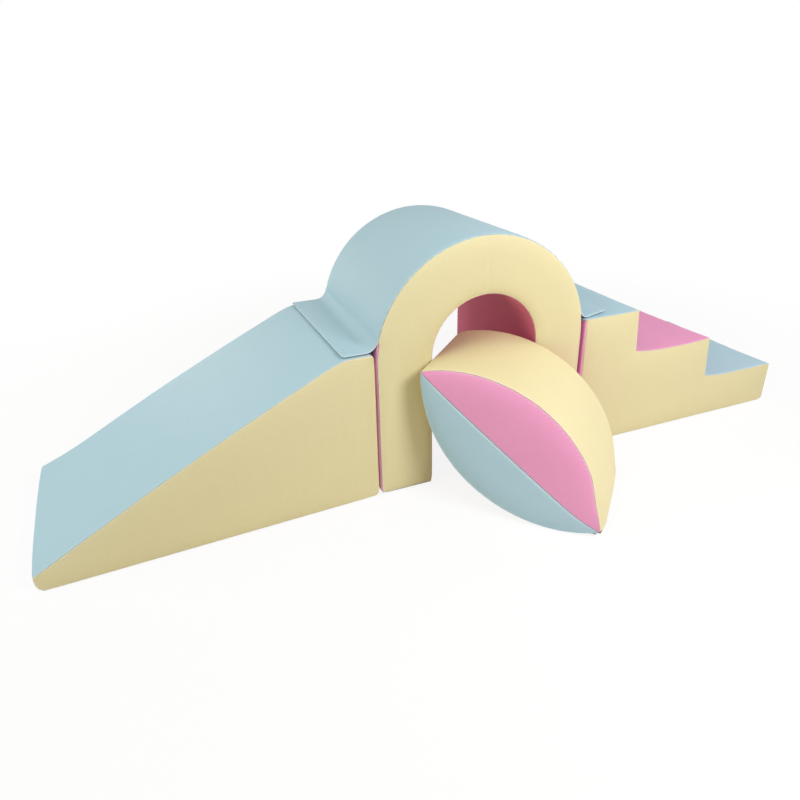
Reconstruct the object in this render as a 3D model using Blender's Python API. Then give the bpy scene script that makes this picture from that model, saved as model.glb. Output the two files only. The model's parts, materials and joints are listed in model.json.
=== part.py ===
"""Soft play foam climber: a ramp, a tunnel arch and stairs in a row, with a rocker leaning on the arch.

Each block is a foam core inside a sewn cover. A block starts as a form, the closed outer shape of the
covered block, whose faces are marked with the cover panel that they belong to. The panels and the core
are both made from the form, so they always fit each other.

The set is modelled with X along it, Y from front to back and Z up. The middle of the arch's front foot
line is the working origin, and the finished set is moved so that its footprint is centred on the origin.
"""

import math
from collections import defaultdict

import bmesh
import bpy
import numpy as np
from mathutils import Matrix, Vector
from mathutils.geometry import intersect_point_line

# The set, in metres
block_depth = 0.600
landing_height = 0.510
ramp_gap = 0.004
stairs_gap = 0.010
fit_gap = 0.0003

# Covers: coated fabric sewn panel to panel, crowned by the foam behind them
cover_thickness = 0.0015
seam_gap = 0.0006
side_crown = 0.008
crown_reach = 0.110
smooth_corner_share = 0.2
facing_share = 0.9
sharp_angle = math.radians(35)

# Arch
arch_width = 0.760
arch_height = 0.840
tunnel_width = 0.380
arc_steps = 18
leg_level_shares = (0, 0.10, 0.37, 0.64, 0.90, 1)
leg_cell_count = 3

# Ramp
ramp_length = 1.000
ramp_turn = math.radians(3)
landing_run = 0.105
landing_rounding = 0.150
toe_radius = 0.045
toe_lip = 0.007
slope_crown = 0.008
slope_cells = 9
rounding_steps = 3
ramp_rows = 3

# Stairs
step_count = 3
platform_run = 0.240
tread_run = 0.380
riser_lean = 0.012
cells_per_run = 4
platform_cells = 3
cells_per_rise = 2

# Rocker: the shape that two equal circles share, leaning tip up on the arch's left leg
rocker_length = 0.725
rocker_height = 0.375
rocker_depth = 0.372
rocker_turn = math.radians(45)
rocker_tilt = math.radians(38)
rocker_front_crown = 0.022
rocker_rear_crown = 0.004
rocker_cells = 14
rocker_row_shares = (-1, -0.5, 0, 0.5, 1)

# Flaps: sewn to the arch's band, they lie on the neighbouring blocks and fasten there
crease_rise = 0.035
flap_reach = 0.118
flap_thickness = 0.004
flap_root_steps = 5
flap_end_inset = 0.003
left_flap_setback = 0.004
right_flap_setback = 0.028

# Touch fasteners: a loop patch on each neighbour and a hook strip under each flap
fastener_thickness = 0.0015
fastener_end_inset = 0.050
loop_patch_width = 0.045
loop_patch_inset = 0.022
hook_strip_width = 0.040
hook_strip_inset = 0.030

# Zips: woven tape in the cover, nylon teeth on it and a metal slider with its pull
zip_height = 0.040
zip_tape_width = 0.024
zip_teeth_width = 0.006
zip_teeth_height = 0.0018
zip_end_margin = 0.008
slider_length = 0.014
slider_width = 0.011
slider_roof = 0.0018
pull_length = 0.020
pull_width = 0.006
pull_thickness = 0.0012
zip_low_share = 0.2
zip_high_share = 0.4

# Worked out from the sizes above
arch_radius = arch_width / 2
tunnel_radius = tunnel_width / 2
leg_width = arch_radius - tunnel_radius
springline = arch_height - arch_radius
crease_height = landing_height + crease_rise
crease_angle = math.asin(max(crease_height - springline, 0) / arch_radius)
leg_top = min(springline, crease_height)
toe_height = toe_radius + toe_lip
step_rise = landing_height / step_count
stairs_length = platform_run + (step_count - 1) * tread_run
zip_low = zip_height - zip_tape_width / 2
zip_high = zip_height + zip_tape_width / 2
rocker_half = rocker_length / 2
rocker_sagitta = rocker_height / 2
rocker_radius = (rocker_half ** 2 + rocker_sagitta ** 2) / (2 * rocker_sagitta)
rocker_centre_rise = rocker_radius - rocker_sagitta
rocker_angle = math.asin(rocker_half / rocker_radius)
patch_level = landing_height + fit_gap
strip_level = patch_level + fastener_thickness + fit_gap
flap_level = strip_level + fastener_thickness + fit_gap
flap_top = flap_level + flap_thickness


def material(name, colour, roughness, metallic=0.0):
    """A Principled material with the part's colour."""
    made = bpy.data.materials.new(name)
    made.use_nodes = True
    shader = made.node_tree.nodes["Principled BSDF"]
    shader.inputs["Base Color"].default_value = (*colour, 1.0)
    shader.inputs["Roughness"].default_value = roughness
    shader.inputs["Metallic"].default_value = metallic
    made.diffuse_color = (*colour, 1.0)
    return made


def make_materials():
    """The colours of the coated fabrics, the foam and the small parts."""
    return {
        "cream": material("cream_leatherette", (0.85, 0.77, 0.50), 0.55),
        "blue": material("blue_leatherette", (0.44, 0.66, 0.71), 0.55),
        "pink": material("pink_leatherette", (0.78, 0.30, 0.50), 0.55),
        "base": material("non_slip_base", (0.55, 0.53, 0.48), 0.90),
        "foam": material("foam", (0.86, 0.84, 0.78), 0.95),
        "fastener": material("touch_fastener", (0.72, 0.76, 0.78), 0.90),
        "tape": material("zip_tape", (0.80, 0.74, 0.52), 0.85),
        "teeth": material("zip_teeth", (0.82, 0.78, 0.62), 0.40),
        "slider": material("zip_slider", (0.62, 0.62, 0.63), 0.30, 1.0),
    }


def empty(name, parent=None, matrix=None):
    """An empty that carries a block or marks a joint's axis."""
    made = bpy.data.objects.new(name, None)
    bpy.context.scene.collection.objects.link(made)
    made.parent = parent
    made.matrix_local = matrix or Matrix()
    return made


def solid(name, bm, parent, finish):
    """Turn a finished bmesh into a named object on its block."""
    bmesh.ops.recalc_face_normals(bm, faces=bm.faces)
    mesh = bpy.data.meshes.new(name)
    bm.to_mesh(mesh)
    bm.free()
    mesh.materials.append(finish)
    mesh.set_sharp_from_angle(angle=sharp_angle)
    made = bpy.data.objects.new(name, mesh)
    bpy.context.scene.collection.objects.link(made)
    made.parent = parent
    return made


def box(bm, low, high):
    """A closed box between two corners."""
    size = [b - a for a, b in zip(low, high)]
    middle = [(a + b) / 2 for a, b in zip(low, high)]
    place = Matrix.Translation(middle) @ Matrix.Diagonal((*size, 1))
    bmesh.ops.create_cube(bm, size=1, matrix=place)


def fill_grid(bm, grid):
    """Fill a grid of points, given column by column, with four-sided faces."""
    for column, following in zip(grid, grid[1:]):
        for row in range(len(column) - 1):
            bm.faces.new((column[row], following[row], following[row + 1], column[row + 1]))


def extrude_depth(bm, depth):
    """Extrude the flat front face back by the depth, as one closed body."""
    made = bmesh.ops.extrude_face_region(bm, geom=bm.faces[:])
    moved = [item for item in made["geom"] if isinstance(item, bmesh.types.BMVert)]
    bmesh.ops.translate(bm, verts=moved, vec=(0, depth, 0))
    bmesh.ops.recalc_face_normals(bm, faces=bm.faces)


def mark_panels(bm, panel_of):
    """Mark each face with the cover panel that it belongs to, then cut the faces into triangles."""
    marks = bm.faces.layers.string.new("panel")
    for face in bm.faces:
        face[marks] = panel_of(face.calc_center_median(), face.normal).encode()
    bmesh.ops.triangulate(bm, faces=bm.faces[:])
    bm.verts.index_update()
    bm.normal_update()


def faces_of(bm, panels):
    """The faces of one or more panels."""
    marks = bm.faces.layers.string["panel"]
    return [face for face in bm.faces if face[marks].decode() in panels]


def verts_of(faces):
    """The vertices of a patch of faces, in a steady order."""
    return list(dict.fromkeys(vert for face in faces for vert in face.verts))


def border_of(faces):
    """Each edge of a patch of faces, with the one face of the patch that it bounds."""
    owners = defaultdict(list)
    for face in faces:
        for edge in face.edges:
            owners[edge].append(face)
    return [(edge, found[0]) for edge, found in owners.items() if len(found) == 1]


def crown(bm, panels, height):
    """Swell a side face out by the height, easing up from the seams around it."""
    faces = faces_of(bm, panels)
    seams = [[vert.co.copy() for vert in edge.verts] for edge, _ in border_of(faces)]
    outward = faces[0].normal.copy()
    moves = {}
    for vert in verts_of(faces):
        distance = crown_reach
        for start, end in seams:
            nearest, share = intersect_point_line(vert.co, start, end)
            nearest = start.lerp(end, min(max(share, 0), 1))
            distance = min(distance, (vert.co - nearest).length)
        moves[vert] = height * (1 - (1 - distance / crown_reach) ** 2)
    for vert, move in moves.items():
        vert.co += outward * move


def inward_step(vert):
    """The move that takes every face around a vertex inwards by one unit."""
    normals = np.array([face.normal for face in vert.link_faces])
    step = np.linalg.lstsq(-normals, np.ones(len(normals)), rcond=smooth_corner_share)[0]
    return Vector(step)


def seam_steps(faces):
    """The moves that draw a panel's edge in by half the seam gap, leaving its faces in their planes."""
    inside = defaultdict(list)
    for edge, face in border_of(faces):
        along = (edge.verts[1].co - edge.verts[0].co).normalized()
        across = face.normal.cross(along)
        if across.dot(face.calc_center_median() - edge.verts[0].co) < 0:
            across.negate()
        for vert in edge.verts:
            inside[vert].append(across)
    chosen = set(faces)
    steps = {}
    for vert, directions in inside.items():
        normals = [face.normal for face in vert.link_faces if face in chosen]
        rows = np.array([*directions, *normals])
        amounts = [seam_gap / 2] * len(directions) + [0] * len(normals)
        steps[vert] = Vector(np.linalg.lstsq(rows, np.array(amounts), rcond=smooth_corner_share)[0])
    return steps


def cover_panel(name, form, parent, finish):
    """One sewn panel: the form's faces marked with its name, given the cover's thickness inwards."""
    faces = faces_of(form, {name})
    steps = seam_steps(faces)
    bm = bmesh.new()
    outer = {}
    inner = {}
    for vert in verts_of(faces):
        place = vert.co + steps.get(vert, Vector())
        outer[vert] = bm.verts.new(place)
        inner[vert] = bm.verts.new(place + inward_step(vert) * cover_thickness)
    for face in faces:
        bm.faces.new([outer[vert] for vert in face.verts])
        bm.faces.new([inner[vert] for vert in reversed(face.verts)])
    for edge, _ in border_of(faces):
        first, second = edge.verts
        bm.faces.new((outer[first], outer[second], inner[second], inner[first]))
    return solid(name, bm, parent, finish)


def foam_core(name, form, parent, finish):
    """The foam that fills the cover, clear of it all round by the fit gap."""
    bm = form.copy()
    depth = cover_thickness + fit_gap
    places = [vert.co + inward_step(vert) * depth for vert in form.verts]
    for vert, place in zip(bm.verts, places):
        vert.co = place
    return solid(name, bm, parent, finish)


def zip_fastener(name, length, parent, place, finishes):
    """The teeth on a zip tape, and the slider that rides on them with its pull laid along the zip.

    Locally X runs along the zip from its closed end, Y across it and Z out of the cover.
    """
    frame = empty(name + "_place", parent, place)
    half_teeth = zip_teeth_width / 2
    bm = bmesh.new()
    teeth_low = (zip_end_margin, -half_teeth, fit_gap)
    teeth_high = (length - zip_end_margin, half_teeth, fit_gap + zip_teeth_height)
    box(bm, teeth_low, teeth_high)
    solid(name + "_teeth", bm, frame, finishes["teeth"])

    runner = empty(name + "_slider_place", frame, Matrix.Translation((zip_end_margin, 0, 0)))
    half_width = slider_width / 2
    half_channel = half_teeth + fit_gap
    channel_top = fit_gap + zip_teeth_height + fit_gap
    roof_top = channel_top + slider_roof
    section = [
        (-half_width, fit_gap),
        (-half_channel, fit_gap),
        (-half_channel, channel_top),
        (half_channel, channel_top),
        (half_channel, fit_gap),
        (half_width, fit_gap),
        (half_width, roof_top),
        (-half_width, roof_top),
    ]
    bm = bmesh.new()
    bm.faces.new([bm.verts.new((0, y, z)) for y, z in section])
    made = bmesh.ops.extrude_face_region(bm, geom=bm.faces[:])
    moved = [item for item in made["geom"] if isinstance(item, bmesh.types.BMVert)]
    bmesh.ops.translate(bm, verts=moved, vec=(slider_length, 0, 0))
    slider = solid(name + "_slider", bm, runner, finishes["slider"])

    bm = bmesh.new()
    half_pull = pull_width / 2
    pull_low = (slider_length / 2, -half_pull, roof_top - pull_thickness / 2)
    pull_high = (slider_length / 2 + pull_length, half_pull, roof_top + pull_thickness / 2)
    box(bm, pull_low, pull_high)
    pull = solid(name + "_pull_shape", bm, runner, finishes["slider"])
    pull.hide_render = True
    pull.display_type = "WIRE"
    union = slider.modifiers.new("pull", "BOOLEAN")
    union.operation = "UNION"
    union.solver = "EXACT"
    union.object = pull


def arch_stations():
    """Outer and inner points of the arch's outline, foot to foot over the top.

    The legs go up to the springline or to the crease, whichever is lower, and the rest follows the arc.
    """
    levels = [leg_top * share for share in leg_level_shares]
    swept = math.pi - 2 * crease_angle
    stations = [((-arch_radius, z), (-tunnel_radius, z)) for z in levels]
    for step in range(arc_steps + 1):
        angle = crease_angle + swept * step / arc_steps
        across = -math.cos(angle)
        up = math.sin(angle)
        outer = (arch_radius * across, springline + arch_radius * up)
        inner = (tunnel_radius * across, springline + tunnel_radius * up)
        stations.append((outer, inner))
    stations += [((arch_radius, z), (tunnel_radius, z)) for z in reversed(levels)]
    return stations


def arch_zip_span():
    """The heights where the arch's zip starts and ends, on two of its leg's levels."""
    return leg_top * leg_level_shares[1], leg_top * leg_level_shares[-2]


def arch_form():
    """The covered arch: two legs and a half ring, with a zip up the back of the right leg."""
    rest = leg_width - zip_high
    widths = [0, zip_low, zip_high]
    widths += [zip_high + rest * cell / leg_cell_count for cell in range(1, leg_cell_count + 1)]
    bm = bmesh.new()
    grid = []
    for outer, inner in arch_stations():
        points = [Vector(outer).lerp(Vector(inner), width / leg_width) for width in widths]
        grid.append([bm.verts.new((point.x, 0, point.y)) for point in points])
    fill_grid(bm, grid)
    extrude_depth(bm, block_depth)
    middle_radius = (arch_radius + tunnel_radius) / 2
    zip_start, zip_end = arch_zip_span()

    def panel_of(centre, normal):
        side = "left" if centre.x < 0 else "right"
        if normal.y < -facing_share:
            return "arch_front_cover"
        if normal.y > facing_share:
            inset = arch_radius - centre.x
            if zip_low < inset < zip_high and zip_start < centre.z < zip_end:
                return "arch_zip_tape"
            return "arch_rear_cover"
        if normal.z < -facing_share and centre.z < zip_low:
            return f"arch_{side}_foot_cover"
        reach = math.hypot(centre.x, max(centre.z - springline, 0))
        if reach < middle_radius:
            return "arch_tunnel_cover"
        if centre.z > crease_height:
            return "arch_band_cover"
        return f"arch_{side}_side_cover"

    mark_panels(bm, panel_of)
    crown(bm, {"arch_front_cover"}, side_crown)
    crown(bm, {"arch_rear_cover"}, side_crown)
    return bm


def ramp_columns():
    """Where the ramp's side is cut into columns, toe to landing: (x, lowest z, highest z)."""
    toe = -ramp_length
    slope_top = -landing_run
    slope = (landing_height - toe_height) / (slope_top - toe)
    bend = math.atan(slope)
    tangent = landing_rounding * math.tan(bend / 2)
    slope_end = slope_top - tangent * math.cos(bend)
    landing_start = slope_top + tangent

    def top(x):
        if x > landing_start:
            return landing_height
        if x > slope_end:
            return landing_height - landing_rounding + math.sqrt(
                landing_rounding ** 2 - (landing_start - x) ** 2)
        share = (x - toe) / (slope_end - toe)
        return toe_height + slope * (x - toe) + slope_crown * math.sin(math.pi * share)

    columns = []
    for step in range(rounding_steps + 1):
        angle = math.pi / 2 * step / rounding_steps
        x = toe + toe_radius * (1 - math.cos(angle))
        columns.append((x, toe_radius * (1 - math.sin(angle)), top(x)))
    flat_start = columns[-1][0]
    for step in range(1, slope_cells + 1):
        x = flat_start + (slope_end - flat_start) * step / slope_cells
        columns.append((x, 0, top(x)))
    for step in range(1, rounding_steps + 1):
        x = slope_end + (landing_start - slope_end) * step / rounding_steps
        columns.append((x, 0, top(x)))
    columns.append((0, 0, landing_height))
    return columns


def ramp_levels(low, high):
    """Heights of the rows in one column of the ramp's side."""
    height = high - low
    first = low + min(zip_low, height * zip_low_share)
    second = low + min(zip_high, height * zip_high_share)
    return [low, first] + [second + (high - second) * row / ramp_rows for row in range(ramp_rows + 1)]


def ramp_form():
    """The covered ramp: a wedge with a rounded toe and a short flat landing against the arch."""
    columns = ramp_columns()
    bm = bmesh.new()
    fill_grid(bm, [[bm.verts.new((x, 0, z)) for z in ramp_levels(low, high)] for x, low, high in columns])
    extrude_depth(bm, block_depth)
    zip_start, zip_end = ramp_zip_span()

    def panel_of(centre, normal):
        if normal.y < -facing_share:
            return "ramp_front_side_cover"
        if normal.y > facing_share:
            if zip_low < centre.z < zip_high and -zip_end < centre.x < -zip_start:
                return "ramp_zip_tape"
            return "ramp_rear_side_cover"
        if normal.x > facing_share:
            return "ramp_end_cover"
        if normal.z < -facing_share and centre.x > toe_radius - ramp_length:
            return "ramp_base_cover"
        return "ramp_slide_cover"

    mark_panels(bm, panel_of)
    crown(bm, {"ramp_front_side_cover"}, side_crown)
    crown(bm, {"ramp_rear_side_cover"}, side_crown)
    return bm


def ramp_zip_span():
    """Where the ramp's zip starts and ends, as distances from the arch end, on two of its columns."""
    columns = ramp_columns()
    first_slope_column = rounding_steps + 2
    last_slope_column = rounding_steps + slope_cells
    return -columns[last_slope_column][0], -columns[first_slope_column][0]


def stairs_runs():
    """Each step's (start, end, top), from the platform down."""
    runs = []
    start = 0
    for step in range(step_count):
        end = start + (platform_run if step == 0 else tread_run)
        runs.append((start, end, landing_height - step * step_rise))
        start = end
    return runs


def stairs_form():
    """The covered stairs: a platform and two treads, with risers that lean out at their feet."""
    runs = stairs_runs()
    levels = [0, zip_low, zip_high]
    rest = step_rise - zip_high
    levels += [zip_high + rest * row / cells_per_rise for row in range(1, cells_per_rise + 1)]
    for step in range(1, step_count):
        base = step * step_rise
        levels += [base + step_rise * row / cells_per_rise for row in range(1, cells_per_rise + 1)]
    bm = bmesh.new()
    for step, (start, end, top) in enumerate(runs):
        cells = platform_cells if step == 0 else cells_per_run
        rows = [level for level in levels if level < top + fit_gap]
        places = [start + (end - start) * cell / cells for cell in range(cells + 1)]
        fill_grid(bm, [[bm.verts.new((x, 0, z)) for z in rows] for x in places])
    bmesh.ops.remove_doubles(bm, verts=bm.verts, dist=fit_gap)
    for (start, end, top), (_, _, lower) in zip(runs, runs[1:]):
        for vert in bm.verts:
            if abs(vert.co.x - end) < fit_gap and abs(vert.co.z - lower) < fit_gap:
                vert.co.x += riser_lean
    extrude_depth(bm, block_depth)
    names = ["stairs_platform_cover", "stairs_middle_step_cover", "stairs_bottom_step_cover"]
    zip_start, zip_end = stairs_zip_span()

    def panel_of(centre, normal):
        if normal.y < -facing_share:
            return "stairs_front_side_cover"
        if normal.y > facing_share:
            if zip_low < centre.z < zip_high and zip_start < centre.x < zip_end:
                return "stairs_zip_tape"
            return "stairs_rear_side_cover"
        if normal.z < -facing_share:
            return "stairs_base_cover"
        if normal.x < -facing_share:
            return "stairs_end_cover"
        for name, (start, end, top) in zip(names, runs):
            if centre.x < end + riser_lean and centre.z > top - step_rise:
                return name
        return names[-1]

    mark_panels(bm, panel_of)
    crown(bm, {"stairs_front_side_cover"}, side_crown)
    crown(bm, {"stairs_rear_side_cover"}, side_crown)
    return bm


def stairs_zip_span():
    """Where the stairs' zip starts and ends, between two of its columns."""
    first_cell = platform_run / platform_cells
    last_cell = tread_run / cells_per_run
    return first_cell, stairs_length - last_cell


def rocker_form():
    """The covered rocker: two arcs that meet in a tip at each end, with a zip beside the lower tip.

    Locally X runs along it to the lower tip and Z out of the upper arc, from the lower arc's centre.
    """
    swept = 2 * rocker_angle
    angles = [swept * cell / rocker_cells - rocker_angle for cell in range(1, rocker_cells)]
    angles.append(rocker_angle - zip_tape_width / rocker_radius)
    bm = bmesh.new()
    grid = []
    for angle in angles:
        x = rocker_radius * math.sin(angle)
        rise = rocker_radius * math.cos(angle) - rocker_centre_rise
        grid.append([bm.verts.new((x, 0, rise * share)) for share in rocker_row_shares])
    fill_grid(bm, grid)
    upper_tip = bm.verts.new((-rocker_half, 0, 0))
    lower_tip = bm.verts.new((rocker_half, 0, 0))
    for row in range(len(grid[0]) - 1):
        bm.faces.new((upper_tip, grid[0][row], grid[0][row + 1]))
        bm.faces.new((grid[-1][row], lower_tip, grid[-1][row + 1]))
    extrude_depth(bm, rocker_depth)
    zip_edge = rocker_radius * math.sin(angles[-1])

    def panel_of(centre, normal):
        part = "upper" if centre.z > 0 else "lower"
        if normal.y < -facing_share:
            return f"rocker_front_{part}_cover"
        if normal.y > facing_share:
            return f"rocker_rear_{part}_cover"
        if part == "lower" and centre.x > zip_edge:
            return "rocker_zip_tape"
        return f"rocker_{part}_band_cover"

    mark_panels(bm, panel_of)
    crown(bm, {"rocker_front_upper_cover", "rocker_front_lower_cover"}, rocker_front_crown)
    crown(bm, {"rocker_rear_upper_cover", "rocker_rear_lower_cover"}, rocker_rear_crown)
    bmesh.ops.translate(bm, verts=bm.verts, vec=(0, 0, -rocker_centre_rise))
    return bm


def flap(name, side, setback, hinge, finish):
    """A flap: it leaves the arch's band along the crease, curves out flat and reaches past the arch's side.

    The side is -1 for the left flap and 1 for the right one. Its local origin is on the crease.
    """
    turn_radius = (crease_height - flap_level) / (1 - math.sin(crease_angle))
    root = arch_radius * math.cos(crease_angle) + fit_gap
    end = arch_radius + flap_reach - root
    grid = []
    bm = bmesh.new()
    for step in range(flap_root_steps + 1):
        heading = crease_angle + (math.pi / 2 - crease_angle) * step / flap_root_steps
        out = turn_radius * (math.cos(crease_angle) - math.cos(heading))
        down = turn_radius * (math.sin(heading) - math.sin(crease_angle))
        upper = (out + flap_thickness * math.cos(heading), flap_thickness * math.sin(heading) - down)
        grid.append([(out, -down), upper])
    grid.append([(end, flap_level - crease_height), (end, flap_top - crease_height)])
    points = [[bm.verts.new((side * x, 0, z)) for x, z in pair] for pair in grid]
    fill_grid(bm, points)
    extrude_depth(bm, block_depth - 2 * flap_end_inset)
    bmesh.ops.translate(bm, verts=bm.verts, vec=(0, flap_end_inset, 0))
    for vert in bm.verts:
        if vert.co.y < block_depth / 2:
            vert.co.y += setback * abs(vert.co.x) / end
    return solid(name, bm, hinge, finish)


def make_arch(root, finishes):
    """The arch with its cover, its zip and its two hinged flaps."""
    place = empty("arch_place", root)
    form = arch_form()
    foam_core("arch_core", form, place, finishes["foam"])
    panels = {
        "arch_front_cover": "cream",
        "arch_rear_cover": "cream",
        "arch_band_cover": "blue",
        "arch_left_side_cover": "pink",
        "arch_right_side_cover": "pink",
        "arch_tunnel_cover": "pink",
        "arch_left_foot_cover": "base",
        "arch_right_foot_cover": "base",
        "arch_zip_tape": "tape",
    }
    for name, finish in panels.items():
        cover_panel(name, form, place, finishes[finish])
    form.free()

    zip_start, zip_end = arch_zip_span()
    axes = Matrix(((0, 1, 0), (0, 0, 1), (1, 0, 0))).to_4x4()
    spot = Matrix.Translation((arch_radius - zip_height, block_depth, zip_start))
    zip_fastener("arch_zip", zip_end - zip_start, place, spot @ axes, finishes)

    root_reach = arch_radius * math.cos(crease_angle) + fit_gap
    setbacks = {"left": (-1, left_flap_setback), "right": (1, right_flap_setback)}
    for side, (sign, setback) in setbacks.items():
        spot = Matrix.Translation((sign * root_reach, 0, crease_height))
        hinge = empty(f"{side}_flap_hinge", place, spot)
        flap(f"{side}_flap", sign, setback, hinge, finishes["blue"])
        inner = arch_radius + hook_strip_inset - root_reach
        outer = inner + hook_strip_width
        edges = sorted((sign * inner, sign * outer))
        level = strip_level - crease_height
        bm = bmesh.new()
        low = (edges[0], fastener_end_inset, level)
        high = (edges[1], block_depth - fastener_end_inset, level + fastener_thickness)
        box(bm, low, high)
        solid(f"{side}_flap_hook_strip", bm, hinge, finishes["fastener"])


def loop_patch(name, side, parent, finish):
    """The loop patch on a neighbour's landing; the side is the way that the neighbour runs from the arch."""
    edges = sorted((side * loop_patch_inset, side * (loop_patch_inset + loop_patch_width)))
    bm = bmesh.new()
    low = (edges[0], fastener_end_inset, patch_level)
    high = (edges[1], block_depth - fastener_end_inset, patch_level + fastener_thickness)
    box(bm, low, high)
    solid(name, bm, parent, finish)


def make_ramp(root, finishes):
    """The ramp, set against the arch's left side and turned a little about its near corner."""
    spot = Matrix.Translation((-arch_radius - ramp_gap, 0, 0)) @ Matrix.Rotation(ramp_turn, 4, "Z")
    place = empty("ramp_place", root, spot)
    form = ramp_form()
    foam_core("ramp_core", form, place, finishes["foam"])
    panels = {
        "ramp_slide_cover": "blue",
        "ramp_front_side_cover": "cream",
        "ramp_rear_side_cover": "cream",
        "ramp_end_cover": "cream",
        "ramp_base_cover": "base",
        "ramp_zip_tape": "tape",
    }
    for name, finish in panels.items():
        cover_panel(name, form, place, finishes[finish])
    form.free()
    zip_start, zip_end = ramp_zip_span()
    axes = Matrix(((-1, 0, 0), (0, 0, 1), (0, 1, 0))).to_4x4()
    spot = Matrix.Translation((-zip_start, block_depth, zip_height))
    zip_fastener("ramp_zip", zip_end - zip_start, place, spot @ axes, finishes)
    loop_patch("ramp_loop_patch", -1, place, finishes["fastener"])


def make_stairs(root, finishes):
    """The stairs, set against the arch's right side."""
    place = empty("stairs_place", root, Matrix.Translation((arch_radius + stairs_gap, 0, 0)))
    form = stairs_form()
    foam_core("stairs_core", form, place, finishes["foam"])
    panels = {
        "stairs_platform_cover": "blue",
        "stairs_middle_step_cover": "pink",
        "stairs_bottom_step_cover": "blue",
        "stairs_front_side_cover": "cream",
        "stairs_rear_side_cover": "cream",
        "stairs_end_cover": "pink",
        "stairs_base_cover": "base",
        "stairs_zip_tape": "tape",
    }
    for name, finish in panels.items():
        cover_panel(name, form, place, finishes[finish])
    form.free()
    zip_start, zip_end = stairs_zip_span()
    axes = Matrix(((1, 0, 0), (0, 0, 1), (0, -1, 0))).to_4x4()
    spot = Matrix.Translation((zip_start, block_depth, zip_height))
    zip_fastener("stairs_zip", zip_end - zip_start, place, spot @ axes, finishes)
    loop_patch("stairs_loop_patch", 1, place, finishes["fastener"])


def make_rocker(root, finishes):
    """The rocker on its lower arc, wedged into the arch's mouth.

    Its upper tip leans on the inner corner of the left leg and its back on that of the right leg. Its empty
    is on the axis that it rocks about, the lower arc's centre, a radius above the floor.
    """
    tip_height = rocker_radius * (1 - math.cos(rocker_angle + rocker_tilt))
    mouth_half = math.sqrt(tunnel_radius ** 2 - max(tip_height - springline, 0) ** 2)
    along = mouth_half * math.cos(rocker_turn)
    across = mouth_half * math.sin(rocker_turn)
    reach = rocker_radius + fit_gap - along
    back = across - fit_gap - rocker_rear_crown
    turn = Matrix.Rotation(-rocker_turn, 4, "Z")
    spot = turn @ Matrix.Translation((reach, back - rocker_depth, rocker_radius))
    place = empty("rocker_place", root, spot @ Matrix.Rotation(rocker_tilt, 4, "Y"))
    form = rocker_form()
    foam_core("rocker_core", form, place, finishes["foam"])
    panels = {
        "rocker_front_upper_cover": "pink",
        "rocker_front_lower_cover": "blue",
        "rocker_rear_upper_cover": "pink",
        "rocker_rear_lower_cover": "blue",
        "rocker_upper_band_cover": "cream",
        "rocker_lower_band_cover": "cream",
        "rocker_zip_tape": "tape",
    }
    for name, finish in panels.items():
        cover_panel(name, form, place, finishes[finish])
    form.free()

    edge_angle = rocker_angle - zip_tape_width / rocker_radius
    edge = Vector((math.sin(edge_angle), 0, -math.cos(edge_angle))) * rocker_radius
    tip = Vector((rocker_half, 0, -rocker_centre_rise))
    over = (tip - edge).normalized()
    depthwise = Vector((0, 1, 0))
    outward = depthwise.cross(over)
    middle = (edge + tip) / 2
    axes = Matrix((depthwise, over, outward)).transposed().to_4x4()
    zip_fastener("rocker_zip", rocker_depth, place, Matrix.Translation(middle) @ axes, finishes)


def centre_on_footprint(root):
    """Move the set so that the middle of its footprint is at the origin."""
    bpy.context.view_layer.update()
    corners = []
    for made in bpy.data.objects:
        if made.type == "MESH" and not made.hide_render:
            corners += [made.matrix_world @ vert.co for vert in made.data.vertices]
    low = [min(corner[axis] for corner in corners) for axis in range(2)]
    high = [max(corner[axis] for corner in corners) for axis in range(2)]
    root.location = (-(low[0] + high[0]) / 2, -(low[1] + high[1]) / 2, 0)
    bpy.context.view_layer.update()


def main():
    """Build the whole set."""
    for old in list(bpy.data.objects):
        bpy.data.objects.remove(old, do_unlink=True)
    finishes = make_materials()
    root = empty("set_origin")
    make_arch(root, finishes)
    make_ramp(root, finishes)
    make_stairs(root, finishes)
    make_rocker(root, finishes)
    centre_on_footprint(root)


main()
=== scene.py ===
# Soft play set: sewn leatherette covers over foam blocks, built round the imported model
import json
import math

import bmesh
import bpy
from mathutils import Matrix, Vector, kdtree, noise


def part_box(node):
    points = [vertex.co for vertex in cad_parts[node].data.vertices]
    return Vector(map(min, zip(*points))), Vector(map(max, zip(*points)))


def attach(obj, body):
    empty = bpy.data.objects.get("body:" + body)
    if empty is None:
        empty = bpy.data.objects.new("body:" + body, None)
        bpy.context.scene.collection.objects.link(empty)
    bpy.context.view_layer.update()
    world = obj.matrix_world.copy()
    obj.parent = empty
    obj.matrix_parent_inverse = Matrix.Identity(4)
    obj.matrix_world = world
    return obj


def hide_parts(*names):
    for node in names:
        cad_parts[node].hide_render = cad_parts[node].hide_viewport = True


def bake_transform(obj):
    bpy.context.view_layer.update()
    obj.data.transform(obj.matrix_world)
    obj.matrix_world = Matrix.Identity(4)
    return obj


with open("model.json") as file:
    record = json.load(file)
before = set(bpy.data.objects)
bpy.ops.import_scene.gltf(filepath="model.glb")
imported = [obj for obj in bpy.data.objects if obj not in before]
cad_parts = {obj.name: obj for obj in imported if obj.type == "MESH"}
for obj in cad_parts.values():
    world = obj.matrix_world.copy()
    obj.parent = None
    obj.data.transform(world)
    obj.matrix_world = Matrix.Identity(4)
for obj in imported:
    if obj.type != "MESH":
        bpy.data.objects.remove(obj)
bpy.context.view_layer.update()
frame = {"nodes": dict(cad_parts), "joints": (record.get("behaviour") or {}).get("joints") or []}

scene = bpy.context.scene
print("frame loaded:", len(frame["nodes"]), "nodes")


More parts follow.
